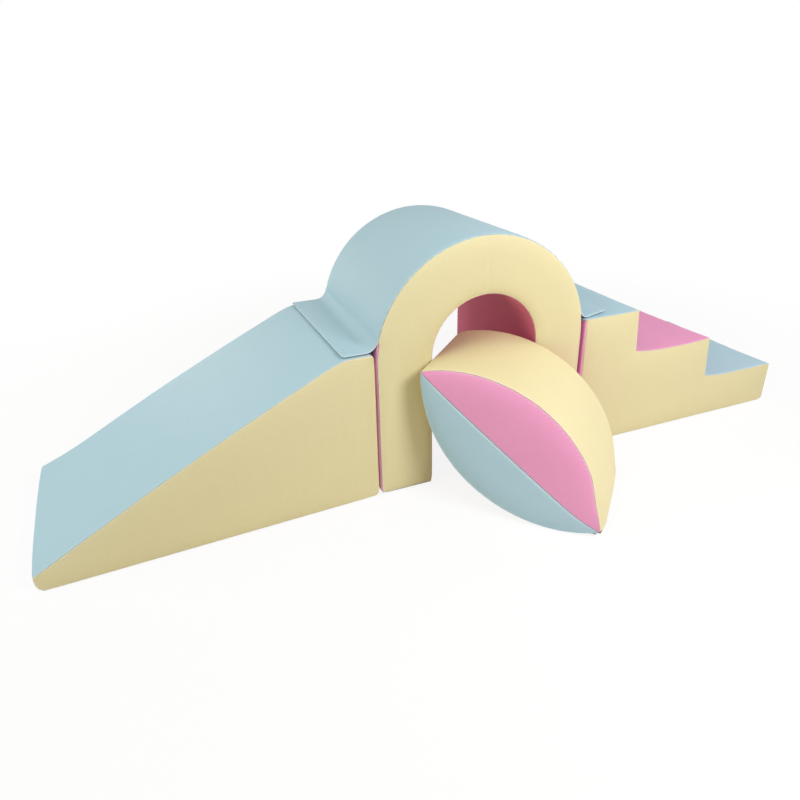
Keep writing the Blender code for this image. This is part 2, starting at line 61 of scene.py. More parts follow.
# Camera: the photograph's viewpoint, front left and a little above the arch
camera = {
    "place": (-0.9094, -1.7038, 1.2244),
    "turn": (65.9625, 0.2376, -23.4374),  # degrees
    "lens": 27.717,  # mm on a 36 mm sensor
    "shift": (-0.03225, -0.03695),
}


def makeCamera():
    data = bpy.data.cameras.new("camera")
    data.sensor_width = 36
    data.lens = camera["lens"]
    data.shift_x, data.shift_y = camera["shift"]
    made = bpy.data.objects.new("camera", data)
    scene.collection.objects.link(made)
    made.location = camera["place"]
    made.rotation_euler = [math.radians(angle) for angle in camera["turn"]]
    scene.camera = made


# Studio: a white floor and surround, and six soft lamps
studio = {
    "floorSize": 60.0,
    "floor": "#f6f4ee",
    "whiteShare": 0.88,  # how much of the floor beside the object the camera sees as plain white
    "whiteFrom": 1.4,  # from the middle, where it turns whiter, up to the next, where it is all white
    "whiteBeyond": 3.2,
    "surround": "#ffffff",
    "surroundStrength": 0.20,
}
lamps = {
    "frontLamp": {"place": (0.7, -1.9, 2.0), "target": (0.3, -0.2, 0.4), "size": 1.1, "power": 48.0,
                  "colour": "#fafaff"},
    "rightLamp": {"place": (3.2, 0.0, 1.6), "target": (0.3, 0.1, 0.3), "size": 1.6, "power": 25.0,
                  "colour": "#fcfaff"},
    "tunnelLamp": {"place": (-1.5, 2.8, 1.0), "target": (0.1, 0.2, 0.4), "size": 1.0, "power": 12.0,
                   "colour": "#fff6f2"},
    "leftLamp": {"place": (-2.8, 1.0, 1.6), "target": (-0.3, 0.1, 0.4), "size": 1.4, "power": 16.0,
                 "colour": "#f7ffff"},
    "slideLamp": {"place": (-1.6, -0.3, 3.0), "target": (-0.5, 0.1, 0.3), "size": 2.0, "power": 27.0,
                  "colour": "#fffff5"},
    "sideLamp": {"place": (-3.4, -0.75, 1.0), "target": (0.2, 0.0, 0.35), "size": 1.2, "power": 13.0,
                 "colour": "#ecf8ff"},
}


def linear(hexColour):
    # sRGB hex to the linear values that the shader takes
    channels = [int(hexColour[i:i + 2], 16) / 255 for i in (1, 3, 5)]
    return [c / 12.92 if c <= 0.04045 else ((c + 0.055) / 1.055) ** 2.4 for c in channels] + [1.0]


def addNode(tree, kind, values=None, links=None, into=None, **settings):
    # one node with its settings, its sockets' values, what is linked into them and the socket that it feeds;
    # a node given as a link stands for its first output
    node = tree.nodes.new("ShaderNode" + kind)
    for name, value in settings.items():
        setattr(node, name, value)
    for socket, value in (values or {}).items():
        node.inputs[socket].default_value = value
    for socket, source in (links or {}).items():
        tree.links.new(getattr(source, "outputs", [source])[0], node.inputs[socket])
    if into:
        tree.links.new(node.outputs[0], into)
    return node


def emptyTree(owner):
    owner.use_nodes = True
    owner.node_tree.nodes.clear()
    return owner.node_tree


def seenDirectly(tree):
    # 1 for what the camera, a reflection or a see-through surface looks at, 0 for light on its way
    rays = addNode(tree, "LightPath").outputs
    either = addNode(tree, "Math", links={0: rays["Is Camera Ray"], 1: rays["Is Glossy Ray"]},
                     operation="MAXIMUM")
    return addNode(tree, "Math", links={0: either, 1: rays["Is Transmission Ray"]}, operation="MAXIMUM")


def makeSurround():
    scene.world = bpy.data.worlds.new("surround")
    tree = emptyTree(scene.world)
    seen = seenDirectly(tree)
    fill, white = (addNode(tree, "Background", {"Color": linear(studio["surround"]), "Strength": strength})
                   for strength in (studio["surroundStrength"], 1.0))
    both = addNode(tree, "MixShader", links={0: seen, 1: fill, 2: white})
    addNode(tree, "OutputWorld", links={"Surface": both})


def makeFloor():
    finish = bpy.data.materials.new("studioFloor")
    tree = emptyTree(finish)
    seen = seenDirectly(tree)
    spot = addNode(tree, "TexCoord").outputs["Object"]
    away = addNode(tree, "VectorMath", links={0: spot}, operation="LENGTH").outputs["Value"]
    fade = addNode(tree, "MapRange", {"From Min": studio["whiteFrom"], "From Max": studio["whiteBeyond"],
                                      "To Min": studio["whiteShare"]}, {"Value": away},
                   interpolation_type="SMOOTHSTEP")
    share = addNode(tree, "Math", links={0: seen, 1: fade}, operation="MULTIPLY")
    paper = addNode(tree, "BsdfDiffuse", {"Color": linear(studio["floor"])})
    glow = addNode(tree, "Emission", {"Color": linear(studio["surround"]), "Strength": 1.0})
    both = addNode(tree, "MixShader", links={0: share, 1: paper, 2: glow})
    addNode(tree, "OutputMaterial", links={"Surface": both})

    bm = bmesh.new()
    bmesh.ops.create_grid(bm, x_segments=1, y_segments=1, size=studio["floorSize"] / 2)
    mesh = bpy.data.meshes.new("floor")
    bm.to_mesh(mesh)
    bm.free()
    mesh.materials.append(finish)
    floor = bpy.data.objects.new("floor", mesh)
    scene.collection.objects.link(floor)


def makeLamps():
    for name, lamp in lamps.items():
        light = bpy.data.lights.new(name, "AREA")
        light.shape = "DISK"
        light.size = lamp["size"]
        light.energy = lamp["power"]
        light.color = linear(lamp["colour"])[:3]
        shining = bpy.data.objects.new(name, light)
        scene.collection.objects.link(shining)
        shining.location = lamp["place"]
        aim = Vector(lamp["target"]) - shining.location
        shining.rotation_euler = aim.to_track_quat("-Z", "Y").to_euler()
    scene.view_settings.view_transform = "Standard"


def toned(colour, factor):
    # a deeper tone below 1, a paler one above
    if factor <= 1:
        return [channel * factor for channel in colour[:3]] + [1.0]
    return [channel + (1 - channel) * (factor - 1) for channel in colour[:3]] + [1.0]


def startFinish(name, values=None):
    # a finish with those values, and the coordinates for its patterns
    finish = bpy.data.materials.new(name)
    finish.use_nodes = True
    tree = finish.node_tree
    shader = tree.nodes["Principled BSDF"]
    for socket, value in (values or {}).items():
        shader.inputs[socket].default_value = value
    return finish, tree, shader, addNode(tree, "TexCoord").outputs["Object"]


def layRelief(tree, shader, *layers):
    # bumps one over the other, each a height and its depth in mm
    below = {}
    for height, depth in layers:
        bump = addNode(tree, "Bump", {"Strength": 1.0, "Distance": depth / 1000}, {"Height": height, **below},
                       into=shader.inputs["Normal"])
        below = {"Normal": bump}


def dress(tree, shader, look, share, *layers):
    # a look's colour from its low tone to its high one, and its layers of relief
    low, high = (toned(linear(look["colour"]), tone) for tone in look["tones"])
    layRelief(tree, shader, *layers)
    return addNode(tree, "MixRGB", {1: low, 2: high}, {0: share}, into=shader.inputs["Base Color"])


# Leatherette: PU coating on knitted cotton, embossed with a fine pebble grain and rolled satin. The eye
# gets soft wide highlights, painted shade as a touch deeper colour in the grain's creases, faint mottling
# and, where the cover rolls into a seam, a painted highlight as a paler edge.
leatherette = {
    # the tunnel's colour is the pink leatherette painted deeper and redder: painted shade and pink-on-pink
    # light
    "colours": {"cream": "#e4d7a5", "blue": "#b0ced7", "pink": "#ec9abf", "shadedPink": "#e87592"},
    "grainSize": 2.4,  # mm; the real grain is under 1 mm, which is too fine to show in the picture
    "grainDepth": 0.10,  # mm
    "creaseWidth": 0.28,  # of a pebble, from its edge
    "sway": 1.5,  # mm, how far the grain strays from even rows
    "swaySize": 8.0,  # mm
    "mottleSize": 90.0,  # mm
    "waveSize": 45.0,  # mm, the foam's slight unevenness under the coating
    "waveDepth": 0.35,  # mm
    "mottleTones": (0.97, 1.05),
    # painted shade: the grain's creases take a darker tone
    "paintedCreaseShadeTone": 0.92,
    # painted highlight: the rolled edges beside the seams are paler
    "seamHighlightTone": 1.7,
    "edgeWearAndHighlightFrom": 0.515,  # how sharply a place bulges before it gets the painted highlight
    "edgeWearAndHighlightTo": 0.58,
    "seamHighlightShare": 0.35,
    "roughness": 0.55,
    "creaseRoughness": 0.65,
    "shader": {"IOR": 1.5, "Specular IOR Level": 0.35},
}


def makeLeatherette(name, colour):
    look = leatherette
    finish, tree, shader, spot = startFinish(name + "Leatherette", look["shader"])
    here = {"Vector": spot}
    sway = addNode(tree, "TexNoise", {"Scale": 1000 / look["swaySize"], "Detail": 1.0}, here)
    swayed = addNode(tree, "MixRGB", {0: look["sway"] / 1000}, {1: spot, 2: sway.outputs["Color"]},
                     blend_type="ADD")
    grain = addNode(tree, "TexVoronoi", {"Scale": 1000 / look["grainSize"], "Randomness": 0.9},
                    {"Vector": swayed}, feature="DISTANCE_TO_EDGE")
    pebble = addNode(tree, "MapRange", {"From Max": look["creaseWidth"]}, {"Value": grain},
                     interpolation_type="SMOOTHSTEP")
    mottle = addNode(tree, "TexNoise", {"Scale": 1000 / look["mottleSize"], "Detail": 4.0, "Roughness": 0.55},
                     here)
    wave = addNode(tree, "TexNoise", {"Scale": 1000 / look["waveSize"], "Detail": 2.0}, here)
    bulge = addNode(tree, "NewGeometry").outputs["Pointiness"]
    seamHighlight = addNode(tree, "MapRange", {"From Min": look["edgeWearAndHighlightFrom"], "From Max": look["edgeWearAndHighlightTo"],
                                        "To Max": look["seamHighlightShare"]}, {"Value": bulge})
    base = linear(colour)
    low, high = (toned(base, tone) for tone in look["mottleTones"])
    mottled = addNode(tree, "MixRGB", {1: low, 2: high}, {0: mottle})
    # painted shade in the grain's creases
    creaseShaded = addNode(tree, "MixRGB", {1: toned(base, look["paintedCreaseShadeTone"])}, {0: pebble, 2: mottled})
    # painted highlight on the rolled edges at the seams, where the surface bulges
    addNode(tree, "MixRGB", {2: toned(base, look["seamHighlightTone"])}, {0: seamHighlight, 1: creaseShaded},
            into=shader.inputs["Base Color"])
    addNode(tree, "MapRange", {"To Min": look["creaseRoughness"], "To Max": look["roughness"]},
            {"Value": pebble}, into=shader.inputs["Roughness"])
    layRelief(tree, shader, (wave, look["waveDepth"]), (pebble, look["grainDepth"]))
    return finish


# Non-slip base: polyester scrim with rows of raised PVC dots. The eye gets a dull warm grey cloth with paler,
# slightly shiny dots and some dust between them.
nonSlip = {
    "colour": "#bdb8aa",
    "tones": (0.72, 1.05),
    "dotTone": 1.3,
    "dotPitch": 7.0,  # mm
    "dotRadius": 0.24,  # of the pitch
    "dotEdge": 0.04,  # of the pitch, either side of that radius
    "dotHeight": 0.5,  # mm
    "dustSize": 40.0,  # mm
    "weavePitch": 2.369,  # mm; the real threads lie closer, which is too fine to show
    "weaveDepth": 0.12,  # mm
    "clothRoughness": 0.92,
    "dotRoughness": 0.5,
}


def makeNonSlip():
    finish, tree, shader, spot = startFinish("dottedNonSlipCloth")
    grid = addNode(tree, "TexVoronoi", {"Scale": 1000 / nonSlip["dotPitch"], "Randomness": 0.0},
                   {"Vector": spot}, voronoi_dimensions="2D")
    radius, edge = nonSlip["dotRadius"], nonSlip["dotEdge"]
    dot = addNode(tree, "MapRange", {"From Min": radius + edge, "From Max": radius - edge}, {"Value": grid},
                  interpolation_type="SMOOTHSTEP")
    weave = makeWeave(tree, spot, nonSlip["weavePitch"])
    dust = addNode(tree, "TexNoise", {"Scale": 1000 / nonSlip["dustSize"], "Detail": 5.0}, {"Vector": spot})
    cloth = dress(tree, shader, nonSlip, dust, (weave, nonSlip["weaveDepth"]), (dot, nonSlip["dotHeight"]))
    addNode(tree, "MixRGB", {2: toned(linear(nonSlip["colour"]), nonSlip["dotTone"])}, {0: dot, 1: cloth},
            into=shader.inputs["Base Color"])
    addNode(tree, "MapRange", {"To Min": nonSlip["clothRoughness"], "To Max": nonSlip["dotRoughness"]},
            {"Value": dot}, into=shader.inputs["Roughness"])
    return finish


bandsPerScale = 10 / math.pi  # bands that a wave texture draws in a metre at scale 1
weaveTurns = ((0.5, 0.5, 0.7), (-0.6, 0.9, 0.4))  # so that the threads cross on every face


def makeWeave(tree, spot, pitch):
    # threads one way over threads the other way
    threads = []
    for turn in weaveTurns:
        turned = addNode(tree, "VectorRotate", {"Rotation": turn}, {"Vector": spot},
                         rotation_type="EULER_XYZ")
        threads.append(addNode(tree, "TexWave", {"Scale": 1000 / pitch / bandsPerScale}, {"Vector": turned}))
    return addNode(tree, "MixRGB", {0: 1.0}, {1: threads[0], 2: threads[1]}, blend_type="LIGHTEN")


# Foam: open cells cut through by the saw. The eye gets a chalky cream with painted shade in the pin holes,
# which are darker than the cell walls.
foamLook = {
    "colour": "#efe6c8",
    "tones": (0.62, 1.1),
    "cellSize": 1.6,  # mm
    "wall": 0.22,  # of a cell, from its edge
    "cellDepth": 0.5,  # mm
    "shader": {"Roughness": 0.96},
}


def makeFoam():
    finish, tree, shader, spot = startFinish("openCellFoam", foamLook["shader"])
    cells = addNode(tree, "TexVoronoi", {"Scale": 1000 / foamLook["cellSize"]}, {"Vector": spot},
                    feature="DISTANCE_TO_EDGE")
    # the walls get the pale tone and the pores the dark one: painted shade in the pores
    wall = addNode(tree, "MapRange", {"From Max": foamLook["wall"], "To Min": 1.0, "To Max": 0.0},
                   {"Value": cells})
    dress(tree, shader, foamLook, wall, (wall, foamLook["cellDepth"]))
    return finish


# Zip tape: plain woven polyester. The eye gets crossing threads with dull sheen, with painted shade in the
# gaps between them.
zipTape = {
    "colour": "#dccf9f",
    "tones": (0.7, 1.08),
    "weavePitch": 1.777,  # mm; the real threads lie closer, which is too fine to show
    "weaveDepth": 0.18,  # mm
    "shader": {"Roughness": 0.8, "Sheen Weight": 0.25},
}


def makeZipTape():
    finish, tree, shader, spot = startFinish("wovenPolyesterTape", zipTape["shader"])
    weave = makeWeave(tree, spot, zipTape["weavePitch"])
    # painted shade: the gaps between the threads take the low tone
    dress(tree, shader, zipTape, weave, (weave, zipTape["weaveDepth"]))
    return finish


# Zip teeth: moulded nylon. The eye gets a soft cream, a little light inside it and faint flow marks.
nylon = {
    "colour": "#e2d5a8",
    "tones": (0.86, 1.06),
    "flowSize": 2.381,  # mm
    "flowDepth": 0.03,  # mm
    "shader": {"Roughness": 0.38, "Subsurface Weight": 0.15, "Subsurface Scale": 0.001},
}


def makeNylon():
    finish, tree, shader, spot = startFinish("mouldedNylon", nylon["shader"])
    flow = addNode(tree, "TexNoise", {"Scale": 1000 / nylon["flowSize"], "Detail": 3.0}, {"Vector": spot})
    dress(tree, shader, nylon, flow, (flow, nylon["flowDepth"]))
    return finish


# Slider: die-cast zinc, tumbled smooth. The eye gets soft pits, fine scratches and brighter rubbed edges.
zinc = {
    "colour": "#b6b6b9",
    "tones": (0.78, 1.25),
    "edgeWearAndHighlightFrom": 0.5,  # how sharply an edge bulges before it is rubbed
    "edgeWearAndHighlightTo": 0.6,
    "scratchSize": 3.846,  # mm along a scratch
    "scratchStretch": (1.0, 14.0, 6.0),
    "scratchDepth": 0.02,  # mm
    "pitSize": 1.429,  # mm
    "pitDepth": 0.03,  # mm
    "polish": 0.26,  # roughness, from here to the next
    "dullness": 0.48,
    "shader": {"Metallic": 1.0},
}


def makeZinc():
    finish, tree, shader, spot = startFinish("dieCastZinc", zinc["shader"])
    stretched = addNode(tree, "Mapping", {"Scale": zinc["scratchStretch"]}, {"Vector": spot})
    scratch = addNode(tree, "TexNoise", {"Scale": 1000 / zinc["scratchSize"], "Detail": 6.0},
                      {"Vector": stretched})
    pits = addNode(tree, "TexNoise", {"Scale": 1000 / zinc["pitSize"], "Detail": 2.0}, {"Vector": spot})
    bulge = addNode(tree, "NewGeometry").outputs["Pointiness"]
    edge = addNode(tree, "MapRange", {"From Min": zinc["edgeWearAndHighlightFrom"], "From Max": zinc["edgeWearAndHighlightTo"]},
                   {"Value": bulge})
    dress(tree, shader, zinc, edge, (scratch, zinc["scratchDepth"]), (pits, zinc["pitDepth"]))
    addNode(tree, "MapRange", {"To Min": zinc["polish"], "To Max": zinc["dullness"]}, {"Value": scratch},
            into=shader.inputs["Roughness"])
    return finish


# Thread: spun polyester, two plies twisted together. The eye gets slanting bands with dull sheen, with
# painted shade in the grooves between the plies.
threadLook = {
    "colours": {"thread": "#dbe7ea", "darkThread": "#6b5450"},
    "tones": (0.75, 1.1),
    "plyPitch": 1.208,  # mm
    "plyTurn": (0.5, 0.6, 0.8),
    "plyDepth": 0.08,  # mm
    "shader": {"Roughness": 0.55, "Sheen Weight": 0.2},
}


def makeThread(name, colour):
    look = {**threadLook, "colour": colour}
    finish, tree, shader, spot = startFinish(name, look["shader"])
    turned = addNode(tree, "VectorRotate", {"Rotation": look["plyTurn"]}, {"Vector": spot},
                     rotation_type="EULER_XYZ")
    ply = addNode(tree, "TexWave", {"Scale": 1000 / look["plyPitch"] / bandsPerScale, "Distortion": 1.5},
                  {"Vector": turned}).outputs["Fac"]
    # painted shade: the grooves between the plies take the low tone
    dress(tree, shader, look, ply, (ply, look["plyDepth"]))
    return finish


# Touch fastener's soft side: brushed loop pile. The eye gets fuzzy tufts that catch light at their tips.
loopPile = {
    "colour": "#a9c4cd",
    "tones": (0.68, 1.15),
    "tuftSize": 1.3,  # mm
    "fuzzSize": 0.5556,  # mm
    "pileDepth": 0.5,  # mm
    "shader": {"Roughness": 0.95, "Sheen Weight": 0.5},
}


def makeLoops():
    finish, tree, shader, spot = startFinish("brushedLoopPile", loopPile["shader"])
    tufts = addNode(tree, "TexVoronoi", {"Scale": 1000 / loopPile["tuftSize"]}, {"Vector": spot},
                    feature="SMOOTH_F1")
    fuzz = addNode(tree, "TexNoise", {"Scale": 1000 / loopPile["fuzzSize"], "Detail": 5.0, "Roughness": 0.7},
                   {"Vector": spot})
    both = addNode(tree, "MixRGB", {0: 0.5}, {1: tufts, 2: fuzz})
    dress(tree, shader, loopPile, both, (both, loopPile["pileDepth"]))
    return finish


# Touch fastener's stiff side: rows of nylon hooks on a woven ground. The eye gets small shiny points.
hookTape = {
    "colour": "#9db8c2",
    "tones": (0.66, 1.2),
    "hookPitch": 1.8,  # mm
    "hookFoot": 0.34,  # of the pitch, from the hook's middle
    "hookTop": 0.2,
    "hookHeight": 0.6,  # mm
    "weavePitch": 1.579,  # mm
    "weaveDepth": 0.1,  # mm
    "groundRoughness": 0.85,
    "hookRoughness": 0.4,
}


def makeHooks():
    look = hookTape
    finish, tree, shader, spot = startFinish("nylonHookTape")
    rows = addNode(tree, "TexVoronoi", {"Scale": 1000 / look["hookPitch"], "Randomness": 0.12},
                   {"Vector": spot}, voronoi_dimensions="2D")
    hook = addNode(tree, "MapRange", {"From Min": look["hookFoot"], "From Max": look["hookTop"]},
                   {"Value": rows}, interpolation_type="SMOOTHSTEP")
    weave = makeWeave(tree, spot, look["weavePitch"])
    dress(tree, shader, look, hook, (weave, look["weaveDepth"]), (hook, look["hookHeight"]))
    addNode(tree, "MapRange", {"To Min": look["groundRoughness"], "To Max": look["hookRoughness"]},
            {"Value": hook}, into=shader.inputs["Roughness"])
    return finish


def makeFinishes():
    made = {name: makeLeatherette(name, colour) for name, colour in leatherette["colours"].items()}
    made["base"] = makeNonSlip()
    made["foam"] = makeFoam()
    made["tape"] = makeZipTape()
    made["teeth"] = makeNylon()
    made["slider"] = makeZinc()
    made["loop"] = makeLoops()
    made["hook"] = makeHooks()
    made["thread"] = makeThread("polyesterThread", threadLook["colours"]["thread"])
    made["darkThread"] = makeThread("darkThread", threadLook["colours"]["darkThread"])
    return made


# Covers: cut panels sewn inside out, turned and filled, so each seam is a cleft between two rolled edges
cover = {
    "grid": 0.016,  # mesh spacing while the cover is blown up
    "pressure": 4.0,
    "frames": 20,
    "firmness": 3.2,  # how soon the foam stops the cover on its way in from a seam
    "thickness": 0.0012,
    "rollWidth": 0.0055,  # where the cover starts to turn into a seam
    "lipWidth": 0.0018,
    "lipDrop": 0.0010,
    "roomShare": 0.45,  # of a small cell, how much a seam's roll may take
    "seamDepth": 0.0060,
    "seamGap": 0.0002,
    "unevenness": 0.0008,
    "unevenSize": 0.170,
    "unevenSeed": 7,  # any whole number but 0, so that each run wavers in the same way
    "foamInset": 0.0060,
    "cornerLimit": 1.6,  # how many times the depth of a move a corner may go
    "cutTolerance": 0.00002,
    "quickRise": 0.010,  # in quick trials, which leave the cloth out
    "quickReach": 0.110,
    "roundFade": 3,  # radii over which a rounded end fades out
    "pressSlope": 0.1,  # how steeply the cover may rise past a flap
}
squarely = 0.9  # how squarely a face looks one way before it counts as looking that way
hair = 0.0001  # places nearer than this are the same
slack = 0.001  # less than any cell of a cover


def jointOf(body):
    # the joint that moves a body
    return next(joint for joint in frame["joints"] if joint["child"] == body)


def falloff(distance, reach, power=1):
    # from 1 at no distance down to 0 at the reach
    return min(1, max(0, 1 - distance / reach)) ** power


def within(spot, low, high):
    # between two corners, seen from the side
    return low.x < spot.x < high.x and low.z < spot.z < high.z


def localBox(place, *nodes):
    # lowest and highest corner of some CAD nodes in a block's own axes
    back = place.inverted()
    spots = [back @ vert.co for node in nodes for vert in frame["nodes"][node].data.vertices]
    return [Vector(pick(spot[axis] for spot in spots) for axis in range(3)) for pick in (min, max)]


def through(places, spacing=cover["grid"]):
    # lines at each of the places, with even ones between them
    lines = [places[0]]
    for low, high in zip(places, places[1:]):
        cells = max(1, round((high - low) / spacing))
        lines += [low + (high - low) * cell / cells for cell in range(1, cells + 1)]
    return lines


def gridFace(bm, across, up, place):
    # a flat grid with lines at the given places
    columns, rows = len(across) - 1, len(up) - 1
    made = bmesh.ops.create_grid(bm, x_segments=columns, y_segments=rows, size=0.5)
    for vert in made["verts"]:
        x = across[round((vert.co.x + 0.5) * columns)]
        y = up[round((vert.co.y + 0.5) * rows)]
        vert.co = place @ Vector((x, y, 0))
    return bm.faces[:]


def pushOn(bm, cap, move, isFirst=False):
    # extrude the cap on by a move and give the new cap
    made = bmesh.ops.extrude_face_region(bm, geom=cap)["geom"]
    if not isFirst:
        bmesh.ops.delete(bm, geom=cap, context="FACES")
    bmesh.ops.translate(bm, verts=[item for item in made if isinstance(item, bmesh.types.BMVert)], vec=move)
    return [item for item in made if isinstance(item, bmesh.types.BMFace)]


def cutPrism(outline, xLines, yLines, zLines):
    # a closed prism with that side outline, cut into cells by planes through the lines
    bm = bmesh.new()
    bm.faces.new([bm.verts.new((x, yLines[0], z)) for x, z in outline])
    pushOn(bm, bm.faces[:], (0, yLines[-1] - yLines[0], 0), isFirst=True)
    for axis, lines in enumerate((xLines, yLines, zLines)):
        normal = Vector((0, 0, 0))
        normal[axis] = 1
        for line in lines:
            bmesh.ops.bisect_plane(bm, geom=bm.verts[:] + bm.edges[:] + bm.faces[:], plane_co=normal * line,
                                   plane_no=normal, dist=cover["cutTolerance"])
    bmesh.ops.recalc_face_normals(bm, faces=bm.faces)
    return bm


def markPanels(bm, names, panelOf):
    bm.normal_update()
    for face in bm.faces:
        face.material_index = names.index(panelOf(face.calc_center_median(), face.normal))


def panelsAt(vert):
    return {face.material_index for face in vert.link_faces}


def seamVerts(bm):
    return [vert for vert in bm.verts if len(panelsAt(vert)) > 1]


def flatPanels(block):
    # the base and the zip tape don't swell
    return {index for index, panel in enumerate(block["panels"].values()) if panel["swell"] == 0}


def outwards(vert, depth):
    # a move along the normal, longer at a corner so that each face there moves by the depth
    return vert.normal * depth * min(vert.calc_shell_factor(), cover["cornerLimit"])


def sink(drops):
    # move vertices inwards, with every move worked out first
    moves = [(vert, outwards(vert, drop)) for vert, drop in drops]
    for vert, move in moves:
        vert.co -= move


def blowUp(bm, held):
    # let the cover swell as cloth with its seams held, and give each vertex's new place
    mesh = bpy.data.meshes.new("blown")
    bm.verts.index_update()
    bm.to_mesh(mesh)
    blown = bpy.data.objects.new("blown", mesh)
    scene.collection.objects.link(blown)
    blown.vertex_groups.new(name="held").add([vert.index for vert in held], 1.0, "REPLACE")
    swelling = blown.modifiers.new("cloth", "CLOTH")
    swelling.settings.vertex_group_mass = "held"
    swelling.settings.use_pressure = True
    swelling.settings.uniform_pressure_force = cover["pressure"]
    swelling.settings.effector_weights.gravity = 0
    for step in range(1, cover["frames"] + 1):
        scene.frame_set(step)
    shape = blown.evaluated_get(bpy.context.evaluated_depsgraph_get()).data
    moved = [vert.co.copy() for vert in shape.vertices]
    bpy.data.objects.remove(blown)
    scene.frame_set(1)
    return moved


def swellCover(bm, block):
    # crown each panel as far as the foam behind it lets it go
    panels = list(block["panels"].values())
    loose = {list(block["panels"]).index(name) for name in block.get("looseBetween", ())}
    held = [vert for vert in seamVerts(bm) if not panelsAt(vert) <= loose]
    flat = flatPanels(block)
    held = list(dict.fromkeys(held + [vert for vert in bm.verts if panelsAt(vert) & flat]))
    bm.normal_update()
    moved = blowUp(bm, held)
    fixed = set(held)
    moves = {vert: moved[vert.index] - vert.co for vert in bm.verts if vert not in fixed}
    for index, panel in enumerate(panels):
        mine = [vert for vert in moves if index in panelsAt(vert)]
        if not mine:
            continue
        peak = max(moves[vert].length for vert in mine)
        for vert in mine:
            if min(panelsAt(vert)) != index:
                continue
            share = moves[vert].length / peak
            eased = (1 - math.exp(-cover["firmness"] * share)) / (1 - math.exp(-cover["firmness"]))
            vert.co += moves[vert].normalized() * panel["swell"] * eased


def refine(bm):
    # one level of subdivision, with the seams kept where they are
    creases = bm.edges.layers.float.new("crease_edge")
    for edge in bm.edges:
        if len({face.material_index for face in edge.link_faces}) > 1:
            edge[creases] = 1.0
    mesh = bpy.data.meshes.new("refined")
    bm.to_mesh(mesh)
    fine = bpy.data.objects.new("refined", mesh)
    scene.collection.objects.link(fine)
    finer = fine.modifiers.new("finer", "SUBSURF")
    finer.levels = finer.render_levels = 1
    shape = fine.evaluated_get(bpy.context.evaluated_depsgraph_get()).to_mesh()
    made = bmesh.new()
    made.from_mesh(shape)
    bpy.data.objects.remove(fine)
    return made


def makeUneven(bm, flat):
    # hand-cut foam is never quite true: a slow waver, but not on the base and the zip tape
    noise.seed_set(cover["unevenSeed"])
    for vert in bm.verts:
        if not panelsAt(vert) & flat:
            vert.co += noise.noise_vector(vert.co / cover["unevenSize"]) * cover["unevenness"]


def narrow(bm, region, width):
    # inset a region's border, by less where its cells are small, and give the new border
    inside = set(region)
    aims, rooms, cells = {}, {}, {}
    for face in region:
        for loop in face.loops:
            edge = loop.edge
            isBorder = any(other not in inside for other in edge.link_faces)
            for vert in edge.verts:
                spot = vert.co.to_tuple()
                if isBorder:
                    aims[spot] = aims.get(spot, Vector()) + edge.calc_tangent(loop)
                    cells[spot] = min(cells.get(spot, math.inf), edge.calc_length())
                else:
                    rooms[spot] = min(rooms.get(spot, math.inf), edge.calc_length())
    ring = bmesh.ops.inset_region(bm, faces=region, thickness=0, use_boundary=True)["faces"]
    border = {vert for face in ring for vert in face.verts
              if any(other in inside for other in vert.link_faces)}
    for vert in border:
        spot = vert.co.to_tuple()
        room = cover["roomShare"] * rooms.get(spot, cells[spot])
        vert.co += aims[spot].normalized() * min(width, room)
    return list(border)


def rollSeams(bm, panelCount):
    # turn both panels of each seam into a cleft
    lips = []
    for index in range(panelCount):
        faces = [face for face in bm.faces if face.material_index == index]
        lips += narrow(bm, faces, cover["lipWidth"])
        narrow(bm, faces, cover["rollWidth"] - cover["lipWidth"])
    bm.normal_update()
    sink([(vert, cover["lipDrop"]) for vert in lips] + [(vert, cover["seamDepth"]) for vert in seamVerts(bm)])


def addPiece(bm, name, finish, body, replaced, sharpFrom=50):
    # turn a finished bmesh into a piece that rides on its body and stands for CAD nodes; edges are sharp from
    # that many degrees on
    mesh = bpy.data.meshes.new(name)
    bm.to_mesh(mesh)
    bm.free()
    mesh.shade_smooth()
    mesh.set_sharp_from_angle(angle=math.radians(sharpFrom))
    mesh.materials.clear()
    mesh.materials.append(finishes[finish])
    mesh.polygons.foreach_set("material_index", [0] * len(mesh.polygons))
    piece = bpy.data.objects.new(name, mesh)
    scene.collection.objects.link(piece)
    if body:
        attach(piece, body)
    if replaced:
        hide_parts(*replaced)
    return piece


def thicken(bm, thickness):
    # give an open skin its inner side
    bm.normal_update()
    moves = {vert.co.to_tuple(): outwards(vert, thickness) for vert in bm.verts}
    outer = set(bm.verts)
    bmesh.ops.solidify(bm, geom=bm.faces[:], thickness=0)
    for vert in bm.verts:
        if vert not in outer:
            vert.co -= moves[vert.co.to_tuple()]


def splitPanels(bm, block, place):
    # one closed sewn panel for each part of the cover
    for index, (node, panel) in enumerate(block["panels"].items()):
        part = bm.copy()
        others = [face for face in part.faces if face.material_index != index]
        bmesh.ops.delete(part, geom=others, context="FACES")
        for vert in [vert for vert in part.verts if vert.is_boundary]:
            inside = [link.other_vert(vert).co for link in vert.link_edges if not link.is_boundary]
            if inside:
                inward = sum(inside, Vector()) / len(inside) - vert.co
                vert.co += inward.normalized() * cover["seamGap"]
        thicken(part, cover["thickness"])
        bmesh.ops.transform(part, matrix=place, verts=part.verts)
        name = node.replace("_cover", "_panel") if "_cover" in node else node + "_strip"
        piece = addPiece(part, name, panel["finish"], block["body"], [node])


def addCore(bm, block, place):
    # the foam inside, from the blown up cover
    core = bm.copy()
    core.normal_update()
    sink([(vert, cover["foamInset"]) for vert in core.verts])
    bmesh.ops.transform(core, matrix=place, verts=core.verts)
    piece = addPiece(core, block["core"] + "_block", "foam", block["body"], [block["core"]], sharpFrom=30)


